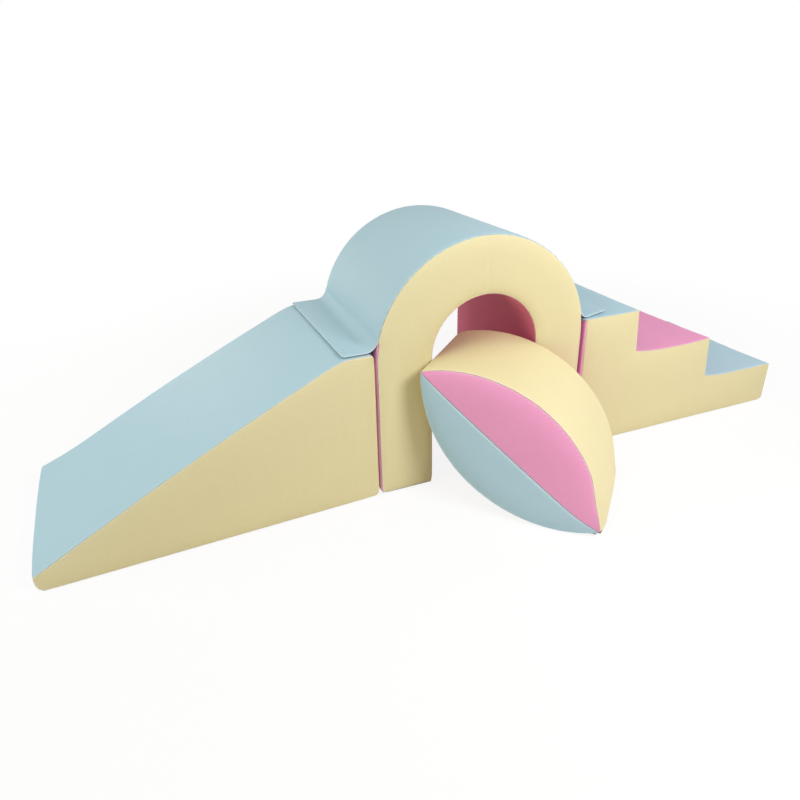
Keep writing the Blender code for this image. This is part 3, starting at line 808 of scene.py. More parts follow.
def makeBlock(bm, block, place, afterSwell=None):
    swellCover(bm, block)
    makeUneven(bm, flatPanels(block))
    if afterSwell:
        afterSwell(bm)
    addCore(bm, block, place)
    fine = refine(bm)
    bm.free()
    rollSeams(fine, len(block["panels"]))
    splitPanels(fine, block, place)
    fine.free()
    print(block["core"], "covered")


def arcDrop(fromEnd, radius):
    # how far a quarter round falls away that near to its end
    return radius - math.sqrt(radius ** 2 - (radius - fromEnd) ** 2)


def roundBottom(vert, fromEnd, radius):
    # ease the bottom edge of a block's end up into a round
    if fromEnd < radius:
        vert.co.z += arcDrop(fromEnd, radius) * max(0, 1 - vert.co.z / (cover["roundFade"] * radius))


def roundTop(vert, fromEnd, radius, top):
    # ease the top edge of a block's end down into a round
    if fromEnd < radius:
        down = top - vert.co.z
        vert.co.z -= arcDrop(fromEnd, radius) * max(0, 1 - down / (cover["roundFade"] * radius))


def pressFlat(blown, sign, zone, top):
    # the cover lies flat under a flap and may rise past it; sign says which way along X the zone runs
    for vert in blown.verts:
        past = max(0, sign * vert.co.x - zone)
        vert.co.z = min(vert.co.z, top + past * cover["pressSlope"])


def bandInset():
    # how far the arch's band stands back from the fronts of the side panels
    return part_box("arch_band_cover")[0].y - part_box("arch_left_side_cover")[0].y


# Arch: two legs and a half ring, blue band over the top, pink tunnel and sides
arch = {
    "core": "arch_core",
    "body": "arch",
    "panels": {
        "arch_front_cover": {"finish": "cream", "swell": 0.012},
        "arch_rear_cover": {"finish": "cream", "swell": 0.012},
        "arch_band_cover": {"finish": "blue", "swell": 0.003},
        "arch_left_side_cover": {"finish": "pink", "swell": 0.001},
        "arch_right_side_cover": {"finish": "pink", "swell": 0.001},
        # the tunnel's deeper pink is painted shade and pink-on-pink light
        "arch_tunnel_cover": {"finish": "shadedPink", "swell": 0.003},
        "arch_left_foot_cover": {"finish": "base", "swell": 0},
        "arch_right_foot_cover": {"finish": "base", "swell": 0},
        "arch_zip_tape": {"finish": "tape", "swell": 0},
    },
    "frontCell": 0.006,  # the first cells behind the front seam
    "turnSteps": 60,  # steps of the half ring between the flaps' creases
    "creaseSteps": 5,
    "topCrease": 0.0035,  # a faint fold down the front from the top
    "topCreaseReach": 0.002,
    "wrap": 0.005,  # how far the left side panel comes round the upright corner
    "wrapRound": {"left": 0.003, "right": 0.001},
    "wrapFade": 0.040,
    "footPinch": 0.004,
    "footReach": 0.030,
    "footRadius": 0.012,
    "footTurn": 0.004,  # how far the front turns under at the floor
}


def makeArch():
    tunnelLow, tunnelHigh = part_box("arch_tunnel_cover")
    middle = (tunnelLow.x + tunnelHigh.x) / 2
    bandLow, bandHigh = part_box("arch_band_cover")
    place = Matrix.Translation((middle, bandLow.y - bandInset(), 0))
    depth = bandHigh.y - bandLow.y
    radius = (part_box("arch_right_side_cover")[1].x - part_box("arch_left_side_cover")[0].x) / 2
    tunnel = (tunnelHigh.x - tunnelLow.x) / 2
    springline = bandHigh.z - radius
    crease = jointOf("left_flap")["pos_m"][2]
    creaseAngle = math.asin((crease - springline) / radius)
    zipLow, zipHigh = localBox(place, "arch_zip_tape")
    zipSide = (radius - zipHigh.x, radius - zipLow.x)

    bm = bmesh.new()
    across = through([0, arch["wrap"], *zipSide, radius - tunnel])
    gridFace(bm, across, through([0, arch["frontCell"], depth]), Matrix.Translation((-radius, 0, 0)))
    levels = through([0, zipLow.z, zipHigh.z, springline])
    cap = bm.faces[:]
    for low, high in zip(levels, levels[1:]):
        cap = pushOn(bm, cap, (0, 0, high - low), isFirst=low == 0)
    turns = ((creaseAngle, arch["creaseSteps"]), (math.pi - 2 * creaseAngle, arch["turnSteps"]),
             (creaseAngle, arch["creaseSteps"]))
    for angle, steps in turns:
        made = bmesh.ops.spin(bm, geom=cap, cent=(0, 0, springline), axis=(0, 1, 0), angle=angle, steps=steps,
                              use_merge=False, use_duplicate=False)["geom_last"]
        bmesh.ops.delete(bm, geom=cap, context="FACES")
        cap = [item for item in made if isinstance(item, bmesh.types.BMFace)]
    for high, low in zip(reversed(levels), reversed(levels[:-1])):
        cap = pushOn(bm, cap, (0, 0, low - high))
    bmesh.ops.recalc_face_normals(bm, faces=bm.faces)
    middleRadius = (radius + tunnel) / 2

    def panelOf(centre, normal):
        side = "left" if centre.x < 0 else "right"
        fromAxis = math.hypot(centre.x, max(centre.z - springline, 0))
        if normal.y < -squarely:
            wraps = side == "left" and fromAxis > radius - arch["wrap"] and centre.z < crease
            return "arch_left_side_cover" if wraps else "arch_front_cover"
        if normal.y > squarely:
            return "arch_zip_tape" if within(centre, zipLow, zipHigh) else "arch_rear_cover"
        if normal.z < -squarely and centre.z < slack:
            return f"arch_{side}_foot_cover"
        if fromAxis < middleRadius:
            return "arch_tunnel_cover"
        return "arch_band_cover" if centre.z > crease else f"arch_{side}_side_cover"

    def foldTop(blown):
        for vert in blown.verts:
            if abs(vert.co.x) < arch["topCreaseReach"] and vert.co.y < 0 and vert.co.z > springline:
                vert.co.y += arch["topCrease"]

    markPanels(bm, list(arch["panels"]), panelOf)
    for vert in bm.verts:
        x, y, z = vert.co
        above = max(z - springline, 0)
        if math.hypot(x, above) > radius - hair and y < hair and z < crease:
            rounding = arch["wrapRound"]["left" if x < 0 else "right"]
            rounding *= min(1, (crease - z) / arch["wrapFade"])
            vert.co += Vector((-x / radius, 1, -above / radius)) * rounding
        if z < arch["footReach"]:
            outer = (abs(x) - middleRadius) / (radius - middleRadius)
            vert.co.x -= math.copysign(arch["footPinch"] * falloff(z, arch["footReach"], 2), x) * outer
        if y < hair and z < hair:
            vert.co.z += arch["footTurn"]
        roundBottom(vert, radius - abs(x), arch["footRadius"])
    makeBlock(bm, arch, place, foldTop)
    return place, creaseAngle, radius


# Ramp: a wedge with a rounded toe, the blue slide wrapped round it
ramp = {
    "core": "ramp_core",
    "body": "ramp",
    "panels": {
        "ramp_slide_cover": {"finish": "blue", "swell": 0.004},
        "ramp_front_side_cover": {"finish": "cream", "swell": 0.012},
        "ramp_rear_side_cover": {"finish": "cream", "swell": 0.012},
        "ramp_end_cover": {"finish": "cream", "swell": 0.001},
        "ramp_base_cover": {"finish": "base", "swell": 0},
        "ramp_zip_tape": {"finish": "tape", "swell": 0},
    },
    "landing": 0.105,
    "landingRounding": 0.150,
    "toeHeight": 0.052,
    "toeRadius": 0.026,
    "cellRun": 0.032,
    "slopeCrown": 0.012,
    "toeBow": 0.007,  # how far the toe's edge bows out towards the rear
    "toeBulge": 0.0055,  # and along its middle
    "toeRise": 0.013,
    "toeRiseStart": 0.020,  # behind the edge, where the rise is measured as a share of the height
    "toeBowReach": 0.15,
    "cornerRadius": 0.018,
    "topCornerRadius": 0.013,  # beside the arch
    "cornerLines": (0, 0.003, 0.008, 0.016),
    "flapZone": 0.120,  # from the end, where the flap presses the cover flat
}


def makeRamp():
    zipAxis = jointOf("ramp_zip_slider")["axis"]
    turn = math.atan2(-zipAxis[1], -zipAxis[0])
    endLow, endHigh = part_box("ramp_end_cover")
    place = Matrix.Translation((endHigh.x, endLow.y, 0)) @ Matrix.Rotation(turn, 4, "Z")
    low, high = localBox(place, "ramp_slide_cover", "ramp_base_cover")
    length, height, depth = -low.x, high.z, high.y
    zipLow, zipHigh = localBox(place, "ramp_zip_tape")
    toe = ramp["toeHeight"]
    slopeRun = length - ramp["landing"]
    slope = (height - toe) / slopeRun
    corner = ramp["cornerLines"]
    slopeX = through([step - length for step in corner] + [-ramp["landing"]], ramp["cellRun"])
    slopeZ = [toe + slope * (x + length) for x in slopeX]
    outline = [(-length, 0), (-length, toe), (-ramp["landing"], height), (0, height), (0, 0)]
    # the zip's ends lie on the nearest of the slope's lines
    xLines = slopeX[1:] + through([-ramp["landing"]] + [-step for step in reversed(corner)])[1:-1]
    zLines = through([0, zipLow.z, zipHigh.z])[1:] + slopeZ[:-1]
    bm = cutPrism(outline, xLines, through([0, depth]), zLines)

    bend = math.atan(slope)
    rounding = ramp["landingRounding"]
    tangent = rounding * math.tan(bend / 2)
    slopeEnd = -ramp["landing"] - tangent * math.cos(bend)
    landingStart = -ramp["landing"] + tangent

    def straightTop(x):
        return min(height, toe + slope * (x + length))

    def roundedTop(x):
        if x > landingStart:
            return height
        if x > slopeEnd:
            return height - rounding + math.sqrt(rounding ** 2 - (landingStart - x) ** 2)
        return straightTop(x) + ramp["slopeCrown"] * math.sin(math.pi * (x + length) / (slopeEnd + length))

    def panelOf(centre, normal):
        if normal.y < -squarely:
            return "ramp_front_side_cover"
        if normal.y > squarely:
            return "ramp_zip_tape" if within(centre, zipLow, zipHigh) else "ramp_rear_side_cover"
        if normal.x > squarely:
            return "ramp_end_cover"
        if normal.z < -squarely and centre.x > ramp["toeRadius"] - length:
            return "ramp_base_cover"
        return "ramp_slide_cover"

    markPanels(bm, list(ramp["panels"]), panelOf)
    for vert in bm.verts:
        vert.co.z *= roundedTop(vert.co.x) / straightTop(vert.co.x)
        fromToe = vert.co.x + length
        if fromToe < ramp["toeRadius"]:
            floor = arcDrop(fromToe, ramp["toeRadius"])
            top = roundedTop(vert.co.x)
            vert.co.z = floor + vert.co.z * (top - floor) / top
        roundBottom(vert, -vert.co.x, ramp["cornerRadius"])
        roundTop(vert, -vert.co.x, ramp["topCornerRadius"], height)
        if fromToe < ramp["toeBowReach"]:
            share = min(1, max(0, vert.co.y / depth))
            eased = falloff(fromToe, ramp["toeBowReach"], 2)
            across = (1 - (1 - share) ** 2) * eased
            bulge = 2 * math.sqrt(share * (1 - share)) * eased
            vert.co.x -= ramp["toeBow"] * across + ramp["toeBulge"] * bulge
            whole = straightTop(vert.co.x + ramp["toeRiseStart"])
            vert.co.z += ramp["toeRise"] * across * vert.co.z / whole

    makeBlock(bm, ramp, place, lambda blown: pressFlat(blown, -1, ramp["flapZone"], height))
    return place


# Stairs: a platform and two treads, each with the riser below its nose in the same colour
stairs = {
    "core": "stairs_core",
    "body": "stairs",
    "panels": {
        "stairs_platform_cover": {"finish": "blue", "swell": 0.004},
        "stairs_middle_step_cover": {"finish": "pink", "swell": 0.004},
        "stairs_bottom_step_cover": {"finish": "blue", "swell": 0.004},
        "stairs_front_side_cover": {"finish": "cream", "swell": 0.012},
        "stairs_rear_side_cover": {"finish": "cream", "swell": 0.012},
        "stairs_end_cover": {"finish": "pink", "swell": 0.001},
        "stairs_base_cover": {"finish": "base", "swell": 0},
        "stairs_zip_tape": {"finish": "tape", "swell": 0},
    },
    "riserLean": 0.012,
    "leanReach": 0.060,
    "footRise": 0.014,  # how far the cover bridges the inner corner at the foot of each riser
    "footReach": 0.15,
    "footDepth": 0.30,
    "cornerRadius": 0.012,
    "topCornerRadius": 0.008,
    "flapZone": 0.130,
    "nose": 0.004,  # how near the edge of a tread its cells are narrow, so that it stays crisp
    "noseLift": ((0.003, 0.0085), (0.007, -0.003)),  # how far the first two noses rise, near and far
    "noseReach": 0.15,
    "noseDepth": 0.060,
    "endCell": 0.005,  # the first cells beside the end
    "wrap": 0.010,  # how far the end panel comes round the front corner
    "wrapRound": 0.003,
}


def makeStairs():
    endLow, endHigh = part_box("stairs_end_cover")
    place = Matrix.Translation((endLow.x, endLow.y - bandInset(), 0))
    depth = endHigh.y - endLow.y
    zipLow, zipHigh = localBox(place, "stairs_zip_tape")
    tops = []
    edges = [0]
    for node in ("stairs_platform_cover", "stairs_middle_step_cover", "stairs_bottom_step_cover"):
        low, high = localBox(place, node)
        tops.append(high.z)
        edges.append(high.x - (stairs["riserLean"] if len(tops) < 3 else 0))
    outline = [(0, 0)]
    for start, end, top in zip(edges, edges[1:], tops):
        outline += [(start, top), (end, top)]
    outline.append((edges[-1], 0))
    noseEdges = [line for edge in edges[1:] for line in (edge - stairs["nose"], edge)]
    noseTops = [line for top in reversed(tops) for line in (top - stairs["nose"], top)]
    xLines = through(sorted([0, stairs["endCell"], stairs["wrap"], zipLow.x, zipHigh.x, *noseEdges]))[1:-1]
    zLines = through([0, zipLow.z, zipHigh.z, *noseTops])[1:-1]
    bm = cutPrism(outline, xLines, through([0, depth]), zLines)

    def panelOf(centre, normal):
        if normal.y < -squarely:
            return "stairs_end_cover" if centre.x < stairs["wrap"] else "stairs_front_side_cover"
        if normal.y > squarely:
            return "stairs_zip_tape" if within(centre, zipLow, zipHigh) else "stairs_rear_side_cover"
        if normal.z < -squarely:
            return "stairs_base_cover"
        if normal.x < -squarely:
            return "stairs_end_cover"
        if centre.x < edges[1] + slack and centre.z > tops[1]:
            return "stairs_platform_cover"
        if centre.x < edges[2] + slack and centre.z > tops[2]:
            return "stairs_middle_step_cover"
        return "stairs_bottom_step_cover"

    markPanels(bm, list(stairs["panels"]), panelOf)
    for vert in bm.verts:
        lift = 0
        for end, top, (near, far) in zip(edges[1:], tops, stairs["noseLift"]):
            out, down = end - vert.co.x, top - vert.co.z
            if out > -hair and down > -hair:
                share = falloff(out, stairs["noseReach"], 2) * falloff(down, stairs["noseDepth"])
                lift += share * (near + (far - near) * vert.co.y / depth)
        for start, low, high in ((edges[1], tops[1], tops[0]), (edges[2], tops[2], tops[1])):
            out = abs(vert.co.x - start)
            beside = low - vert.co.z
            up = falloff(beside, stairs["leanReach"]) if beside > 0 else falloff(-beside, high - low)
            vert.co.x += stairs["riserLean"] * falloff(out, stairs["leanReach"], 2) * up
        for start, end, top in ((edges[1], edges[2], tops[1]), (edges[2], edges[3], tops[2])):
            if start < vert.co.x < end and zipHigh.z < vert.co.z < top + slack:
                atFoot = falloff(vert.co.x - start, stairs["footReach"], 2)
                inFront = falloff(vert.co.y, stairs["footDepth"])
                up = (vert.co.z - zipHigh.z) / (top - zipHigh.z)
                vert.co.z += stairs["footRise"] * atFoot * inFront * up
        roundBottom(vert, edges[-1] - vert.co.x, stairs["cornerRadius"])
        roundTop(vert, vert.co.x, stairs["topCornerRadius"], tops[0])
        vert.co.z += lift
        if vert.co.x < hair and vert.co.y < hair:
            vert.co += Vector((stairs["wrapRound"], stairs["wrapRound"], 0))

    makeBlock(bm, stairs, place, lambda blown: pressFlat(blown, 1, stairs["flapZone"], tops[0]))
    return place


# Rocker: the shape that two circles share, each face in two halves sewn along the chord
rocker = {
    "core": "rocker_core",
    "body": "rocker",
    "panels": {
        "rocker_front_upper_cover": {"finish": "pink", "swell": 0.018},
        "rocker_front_lower_cover": {"finish": "blue", "swell": 0.018},
        "rocker_rear_upper_cover": {"finish": "pink", "swell": 0.004},
        "rocker_rear_lower_cover": {"finish": "blue", "swell": 0.004},
        "rocker_upper_band_cover": {"finish": "cream", "swell": 0.009},
        "rocker_lower_band_cover": {"finish": "cream", "swell": 0.002},
        "rocker_zip_tape": {"finish": "tape", "swell": 0},
    },
    "looseBetween": ("rocker_front_upper_cover", "rocker_front_lower_cover",
                     "rocker_rear_upper_cover", "rocker_rear_lower_cover"),
    "tilt": 38,  # degrees
    "columns": 52,
    "rows": 12,
    "merge": 0.0005,
    "tapeWidth": 0.024,
    "tipBow": 0.018,  # how far the lower tip is filled out between its two ends
    "tipReach": 0.090,
    "tipFullness": 10,  # how evenly it is filled out across the rocker
    "tipPull": (0.007, 0.009, 0.0),  # how far the lower tip's front corner is drawn in
    "tipLift": 0.006,  # and up
    "pullDepth": 0.045,
    "pucker": 0.011,  # the front's upper seam is drawn in a little before that corner
    "puckerAt": 0.080,
    "puckerReach": 0.055,
    "puckerDepth": 0.090,
    "puckerRise": 0.004,  # the pucker fades out on what is lower than this
    "floorGap": 0.0006,
    "frontBias": 3,  # how much nearness to the front counts in finding that corner
    "tackSpan": (0.001, 0.013),  # the hand-tied stitches at the lower tip
    "tackSize": (0.0036, 0.0022, 0.0016),
    # where each row of them runs from the corner, and which way it faces
    "tacks": (((-1, 0, 0.05), (0.3, -1, 0)), ((-0.35, 0, 1), (0.5, -1, 0)), ((0, 1, 0), (1, -0.3, 0))),
}


def makeRocker():
    joint = jointOf("rocker")
    axis = Vector(joint["axis"])
    turn = -math.atan2(-axis.x, -axis.y)
    place = (Matrix.Translation(joint["pos_m"]) @ Matrix.Rotation(turn, 4, "Z")
             @ Matrix.Rotation(math.radians(rocker["tilt"]), 4, "Y"))
    radius = joint["pos_m"][2]
    low, high = localBox(place, "rocker_upper_band_cover", "rocker_lower_band_cover", "rocker_zip_tape")
    depth = high.y + low.y
    half = -low.x
    angle = math.asin(half / radius)
    centreRise = math.sqrt(radius ** 2 - half ** 2)
    tape = rocker["tapeWidth"] / radius

    bm = bmesh.new()
    turns = through([-angle, angle - tape, angle], 2 * angle / rocker["columns"])
    shares = through([-1, 0, 1], 2 / rocker["rows"])
    gridFace(bm, turns, shares, Matrix.Rotation(math.pi / 2, 4, "X"))
    for vert in bm.verts:
        turnHere, share = vert.co.x, vert.co.z
        rise = radius * math.cos(turnHere) - centreRise
        vert.co = (radius * math.sin(turnHere), 0, rise * share)
    bmesh.ops.remove_doubles(bm, verts=bm.verts, dist=rocker["merge"])
    cap = bm.faces[:]
    yLines = through([0, depth])
    for near, far in zip(yLines, yLines[1:]):
        cap = pushOn(bm, cap, (0, far - near, 0), isFirst=near == 0)
    bmesh.ops.recalc_face_normals(bm, faces=bm.faces)
    zipEdge = radius * math.sin(angle - tape)

    def panelOf(centre, normal):
        part = "upper" if centre.z > 0 else "lower"
        if normal.y < -squarely:
            return f"rocker_front_{part}_cover"
        if normal.y > squarely:
            return f"rocker_rear_{part}_cover"
        if part == "lower" and centre.x > zipEdge:
            return "rocker_zip_tape"
        return f"rocker_{part}_band_cover"

    markPanels(bm, list(rocker["panels"]), panelOf)
    tangent = Vector((math.cos(angle), 0, math.sin(angle)))
    upright = place.to_3x3().inverted() @ Vector((0, 0, 1))
    pull = Vector(rocker["tipPull"]) + upright * rocker["tipLift"]
    for vert in bm.verts:
        nearTip = falloff(half - vert.co.x, rocker["tipReach"], 2)
        between = 1 - abs(2 * vert.co.y / depth - 1) ** rocker["tipFullness"]
        if vert.co.z > -slack:
            vert.co += tangent * rocker["tipBow"] * nearTip * between
        vert.co += pull * nearTip * falloff(vert.co.y, rocker["pullDepth"], 2)
        rise = vert.co.z
        if rise > 0:
            front = falloff(vert.co.y, rocker["puckerDepth"], 2)
            fromMiddle = (half - vert.co.x - rocker["puckerAt"]) / rocker["puckerReach"]
            top = math.sqrt(max(0, radius ** 2 - vert.co.x ** 2)) - centreRise
            share = min(1, rise / max(top, rocker["puckerRise"]))
            vert.co.z -= rocker["pucker"] * math.exp(-fromMiddle ** 2) * front * share
    bmesh.ops.translate(bm, verts=bm.verts, vec=(0, 0, -centreRise))

    tips = []

    def pressFloor(blown):
        for vert in blown.verts:
            lift = rocker["floorGap"] - (place @ vert.co).z
            if lift > 0:
                vert.co += upright * lift
        # the lower tip's front corner, for the stitches
        tips.append(max((vert.co for vert in blown.verts),
                        key=lambda spot: spot.x - rocker["frontBias"] * spot.y).copy())

    makeBlock(bm, rocker, place, pressFloor)
    rows = []
    for along, out in rocker["tacks"]:
        heading = Vector(along).normalized()
        side = place.to_3x3() @ Vector(out)
        start, end = (place @ (tips[0] + heading * step) for step in rocker["tackSpan"])
        rows.append((pointsAlong(start, end), side))
    addStitches("rocker_tip_tack", rows, "rocker", "darkThread", rocker["tackSize"])
    zipTurn = angle - tape / 2
    return place.to_3x3() @ Vector((math.sin(zipTurn), 0, -math.cos(zipTurn)))


# Stitches: short threads, each lying in a row
stitch = {
    "pitch": 0.0045,
    "size": (0.0032, 0.0008, 0.0006),
    "sink": 0.35,  # of its height
    "softness": 0.0002,
}


def frameAt(origin, along, out):
    # axes with X along, Z out and the origin there
    along, out = Vector(along).normalized(), Vector(out).normalized()
    rotation = Matrix((along, out.cross(along), out)).transposed().to_4x4()
    return Matrix.Translation(origin) @ rotation


def addBar(bm, place, size):
    # a box that stands on the place
    lift = Matrix.Translation((0, 0, size[2] / 2))
    return bmesh.ops.create_cube(bm, size=1, matrix=place @ lift @ Matrix.Diagonal((*size, 1)))["verts"]


def soften(bm, radius, segments=1):
    bmesh.ops.bevel(bm, geom=bm.edges[:], offset=radius, segments=segments, profile=0.5, affect="EDGES",
                    material=-1)


def pointsAlong(start, end):
    # a row's points, a stitch apart
    start, end = Vector(start), Vector(end)
    count = max(2, round((end - start).length / stitch["pitch"]))
    return [start.lerp(end, index / count) for index in range(count + 1)]


def addStitches(name, rows, body, finish="thread", size=stitch["size"]):
    # rows of stitches: each row is its points and the side that it shows on
    bm = bmesh.new()
    for points, out in rows:
        for start, end in zip(points, points[1:]):
            middle = (start + end) / 2 - Vector(out) * size[2] * stitch["sink"]
            addBar(bm, frameAt(middle, end - start, out), size)
    soften(bm, stitch["softness"])
    return addPiece(bm, name, finish, body, [])


# Flaps: two skins sewn round the rim, hinged at the band's crease and lying on the neighbours
flap = {
    "tipDepth": 0.002,  # of the CAD flap's free edge
    "rim": 0.0042,  # thickness beside the rounded edge
    "thickness": 0.0044,
    "edgeRound": 0.0020,
    "rimReach": 0.009,
    "stitchInset": 0.0075,
    "stitchDip": 0.0010,
    "stitchDipReach": 0.0016,
    "puff": 0.0005,
    "puffFrom": 0.012,
    "puffReach": 0.030,
    "ripple": 0.0005,
    "rippleTurns": (43, 17),  # radians per metre, two that don't repeat together
    "freeEdge": 0.006,  # how much less the free edge hangs down than the sides do, as a distance from the rim
    "droop": 0.0012,  # how far the rim hangs down past the fastener
    "droopReach": 0.036,
    "cornerLift": {"left": 0.0, "right": 0.0060},  # how far the near corner has come up
    "liftReach": 0.080,
    "nearReach": {"left": -0.016, "right": 0.008},  # how much further the free edge reaches at its near end
    "farReach": {"left": 0.006, "right": 0.0},
    "cornerRadius": 0.012,
    "tuck": 0.0021,  # how far the root goes down into the band's seam
    "tuckReach": 0.022,
    "rootThin": 0.35,  # of the thickness
    "rootOver": 0.014,  # how far the root runs up over the band
    "rootSlope": 0.06,
    "bendReach": 0.030,
    "edgeLines": (0, 0.001, 0.0025, 0.005, 0.0075, 0.010, 0.014, 0.022),
    "merge": 0.00001,
    "cellLength": 0.004,
    "cellWidth": 0.008,
    "stitchesFrom": 0.045,
}


def makeFlap(side, creaseAngle, bandRadius):
    node = side + "_flap"
    sign = -1 if side == "left" else 1
    low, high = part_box(node)
    hinge = Vector(jointOf(node)["pos_m"])
    tip = low.x if side == "left" else high.x
    spots = [vert.co for vert in frame["nodes"][node].data.vertices]
    setback = min(spot.y for spot in spots if abs(spot.x - tip) < flap["tipDepth"]) - low.y
    reach = abs(tip - hinge.x)
    radius = (hinge.z - low.z) / (1 - math.sin(creaseAngle))
    arc = radius * (math.pi / 2 - creaseAngle)
    straight = reach - radius * math.cos(creaseAngle)
    length, width = arc + straight, high.y - low.y

    near, far = flap["nearReach"][side], flap["farReach"][side]
    corner = flap["cornerRadius"]

    def roundCorner(u, v):
        # from a square free corner to a quarter circle
        out, aside = 1 - (length - u) / corner, 1 - min(v, width - v) / corner
        if out <= 0 or aside <= 0:
            return u, v
        inset = corner * (1 - aside * math.sqrt(1 - out ** 2 / 2))
        u = length - corner * (1 - out * math.sqrt(1 - aside ** 2 / 2))
        return u, inset if v < width / 2 else width - inset

    def spotAt(u, v, height):
        # u along the flap from its crease, v across it, height over its lower skin
        u, v = roundCorner(u, v)
        toRim = min(v, width - v, max(0, length - u) + flap["freeEdge"])
        u += max(0, u) / length * (near + (far - near) * v / width)
        bend = radius if u > 0 else -bandRadius
        heading = creaseAngle + min(u, arc) / bend
        height -= flap["tuck"] * falloff(u, flap["tuckReach"], 2) + flap["rootSlope"] * max(0, -u)
        out = bend * (math.cos(creaseAngle) - math.cos(heading)) + max(0, u - arc)
        down = bend * (math.sin(heading) - math.sin(creaseAngle))
        y = low.y + v * (1 - setback * out / reach / width) + setback * out / reach
        share = max(0, u - arc) / straight
        lift = flap["cornerLift"][side] * share * falloff(y - low.y - setback, flap["liftReach"], 2)
        lift -= flap["droop"] * share ** 0.5 * falloff(toRim, flap["droopReach"], 2)
        fast, slow = flap["rippleTurns"]
        lift += flap["ripple"] * share * math.sin(y * fast + sign) * math.sin(y * slow)
        return Vector((hinge.x + sign * (out + height * math.cos(heading)), y,
                       hinge.z - down + height * math.sin(heading) + lift))

    def halfThickness(u, v):
        # rounded at the rim, pinched at the stitches and a little puffed between
        fromEdge = min(length - u, v, width - v)
        if fromEdge < flap["edgeRound"]:
            return flap["rim"] / 2 * math.sqrt(max(0, 1 - (1 - fromEdge / flap["edgeRound"]) ** 2))
        ease = min(1, fromEdge / flap["rimReach"])
        fromStitches = (fromEdge - flap["stitchInset"]) / flap["stitchDipReach"]
        pinch = flap["stitchDip"] * math.exp(-fromStitches ** 2)
        puff = flap["puff"] * min(1, max(0, fromEdge - flap["puffFrom"]) / flap["puffReach"])
        whole = (flap["rim"] + (flap["thickness"] - flap["rim"]) * ease) / 2 - pinch + puff
        return whole * (1 - (1 - flap["rootThin"]) * falloff(u, flap["tuckReach"]))

    *edges, last = flap["edgeLines"]
    us = through([-flap["rootOver"], 0, length - last], flap["cellLength"])
    us += [length - inset for inset in reversed(edges)]
    vs = edges + through([last, width - last], flap["cellWidth"])
    vs += [width - inset for inset in reversed(edges)]
    bm = bmesh.new()
    gridFace(bm, us, vs, Matrix.Identity(4))
    upper = set(bm.verts)
    bmesh.ops.solidify(bm, geom=bm.faces[:], thickness=0)
    middle = flap["thickness"] / 2
    for vert in bm.verts:
        half = halfThickness(vert.co.x, vert.co.y) * (1 if vert in upper else -1)
        vert.co = spotAt(vert.co.x, vert.co.y, middle + half)
    bmesh.ops.remove_doubles(bm, verts=bm.verts, dist=flap["merge"])
    bmesh.ops.recalc_face_normals(bm, faces=bm.faces)
    piece = addPiece(bm, node + "_sheet", "blue", None, [node], sharpFrom=60)
    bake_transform(piece)

    def stitchesBetween(start, end):
        points = []
        for u, v in ((spot.x, spot.y) for spot in pointsAlong((*start, 0), (*end, 0))):
            points.append(spotAt(u, v, middle + halfThickness(u, v)))
        return points, (0, 0, 1)

    inset = flap["stitchInset"]
    turns = [(flap["stitchesFrom"], inset), (length - inset, inset), (length - inset, width - inset),
             (flap["stitchesFrom"], width - inset)]
    rows = [stitchesBetween(start, end) for start, end in zip(turns, turns[1:])]
    thread = addStitches(node + "_stitches", rows, node)


# Touch fastener: woven tape with a raised field, sewn on along both long edges
fastener = {
    "selvage": 0.0035,
    "weave": 0.0007,
    "softness": 0.0003,
    "stitchInset": 0.0022,
}


def makeFastener(node, finish, body, place, facing):
    # facing is 1 for a patch that looks up and -1 for a strip that looks down
    low, high = localBox(place, node)
    size = high - low
    bm = bmesh.new()
    base = Matrix.Translation(((low.x + high.x) / 2, (low.y + high.y) / 2, low.z if facing > 0 else high.z))
    if facing < 0:
        base = base @ Matrix.Rotation(math.pi, 4, "X")
    addBar(bm, place @ base, (size.x, size.y, fastener["weave"]))
    bm.normal_update()
    up = (place @ base).to_3x3() @ Vector((0, 0, 1))
    field = [face for face in bm.faces if face.normal.dot(up) > squarely]
    for width, rise in ((fastener["selvage"], 0), (fastener["softness"], size.z - fastener["weave"])):
        bmesh.ops.inset_region(bm, faces=field, thickness=width)
        moved = list({vert for face in field for vert in face.verts})
        bmesh.ops.translate(bm, verts=moved, vec=up * rise)
    piece = addPiece(bm, node + "_tape", finish, body, [node], sharpFrom=30)
    rows = []
    for x in (-size.x / 2 + fastener["stitchInset"], size.x / 2 - fastener["stitchInset"]):
        ends = [place @ base @ Vector((x, y, fastener["weave"])) for y in (-size.y / 2, size.y / 2)]
        rows.append((pointsAlong(*ends), up))
    thread = addStitches(node + "_stitches", rows, body)


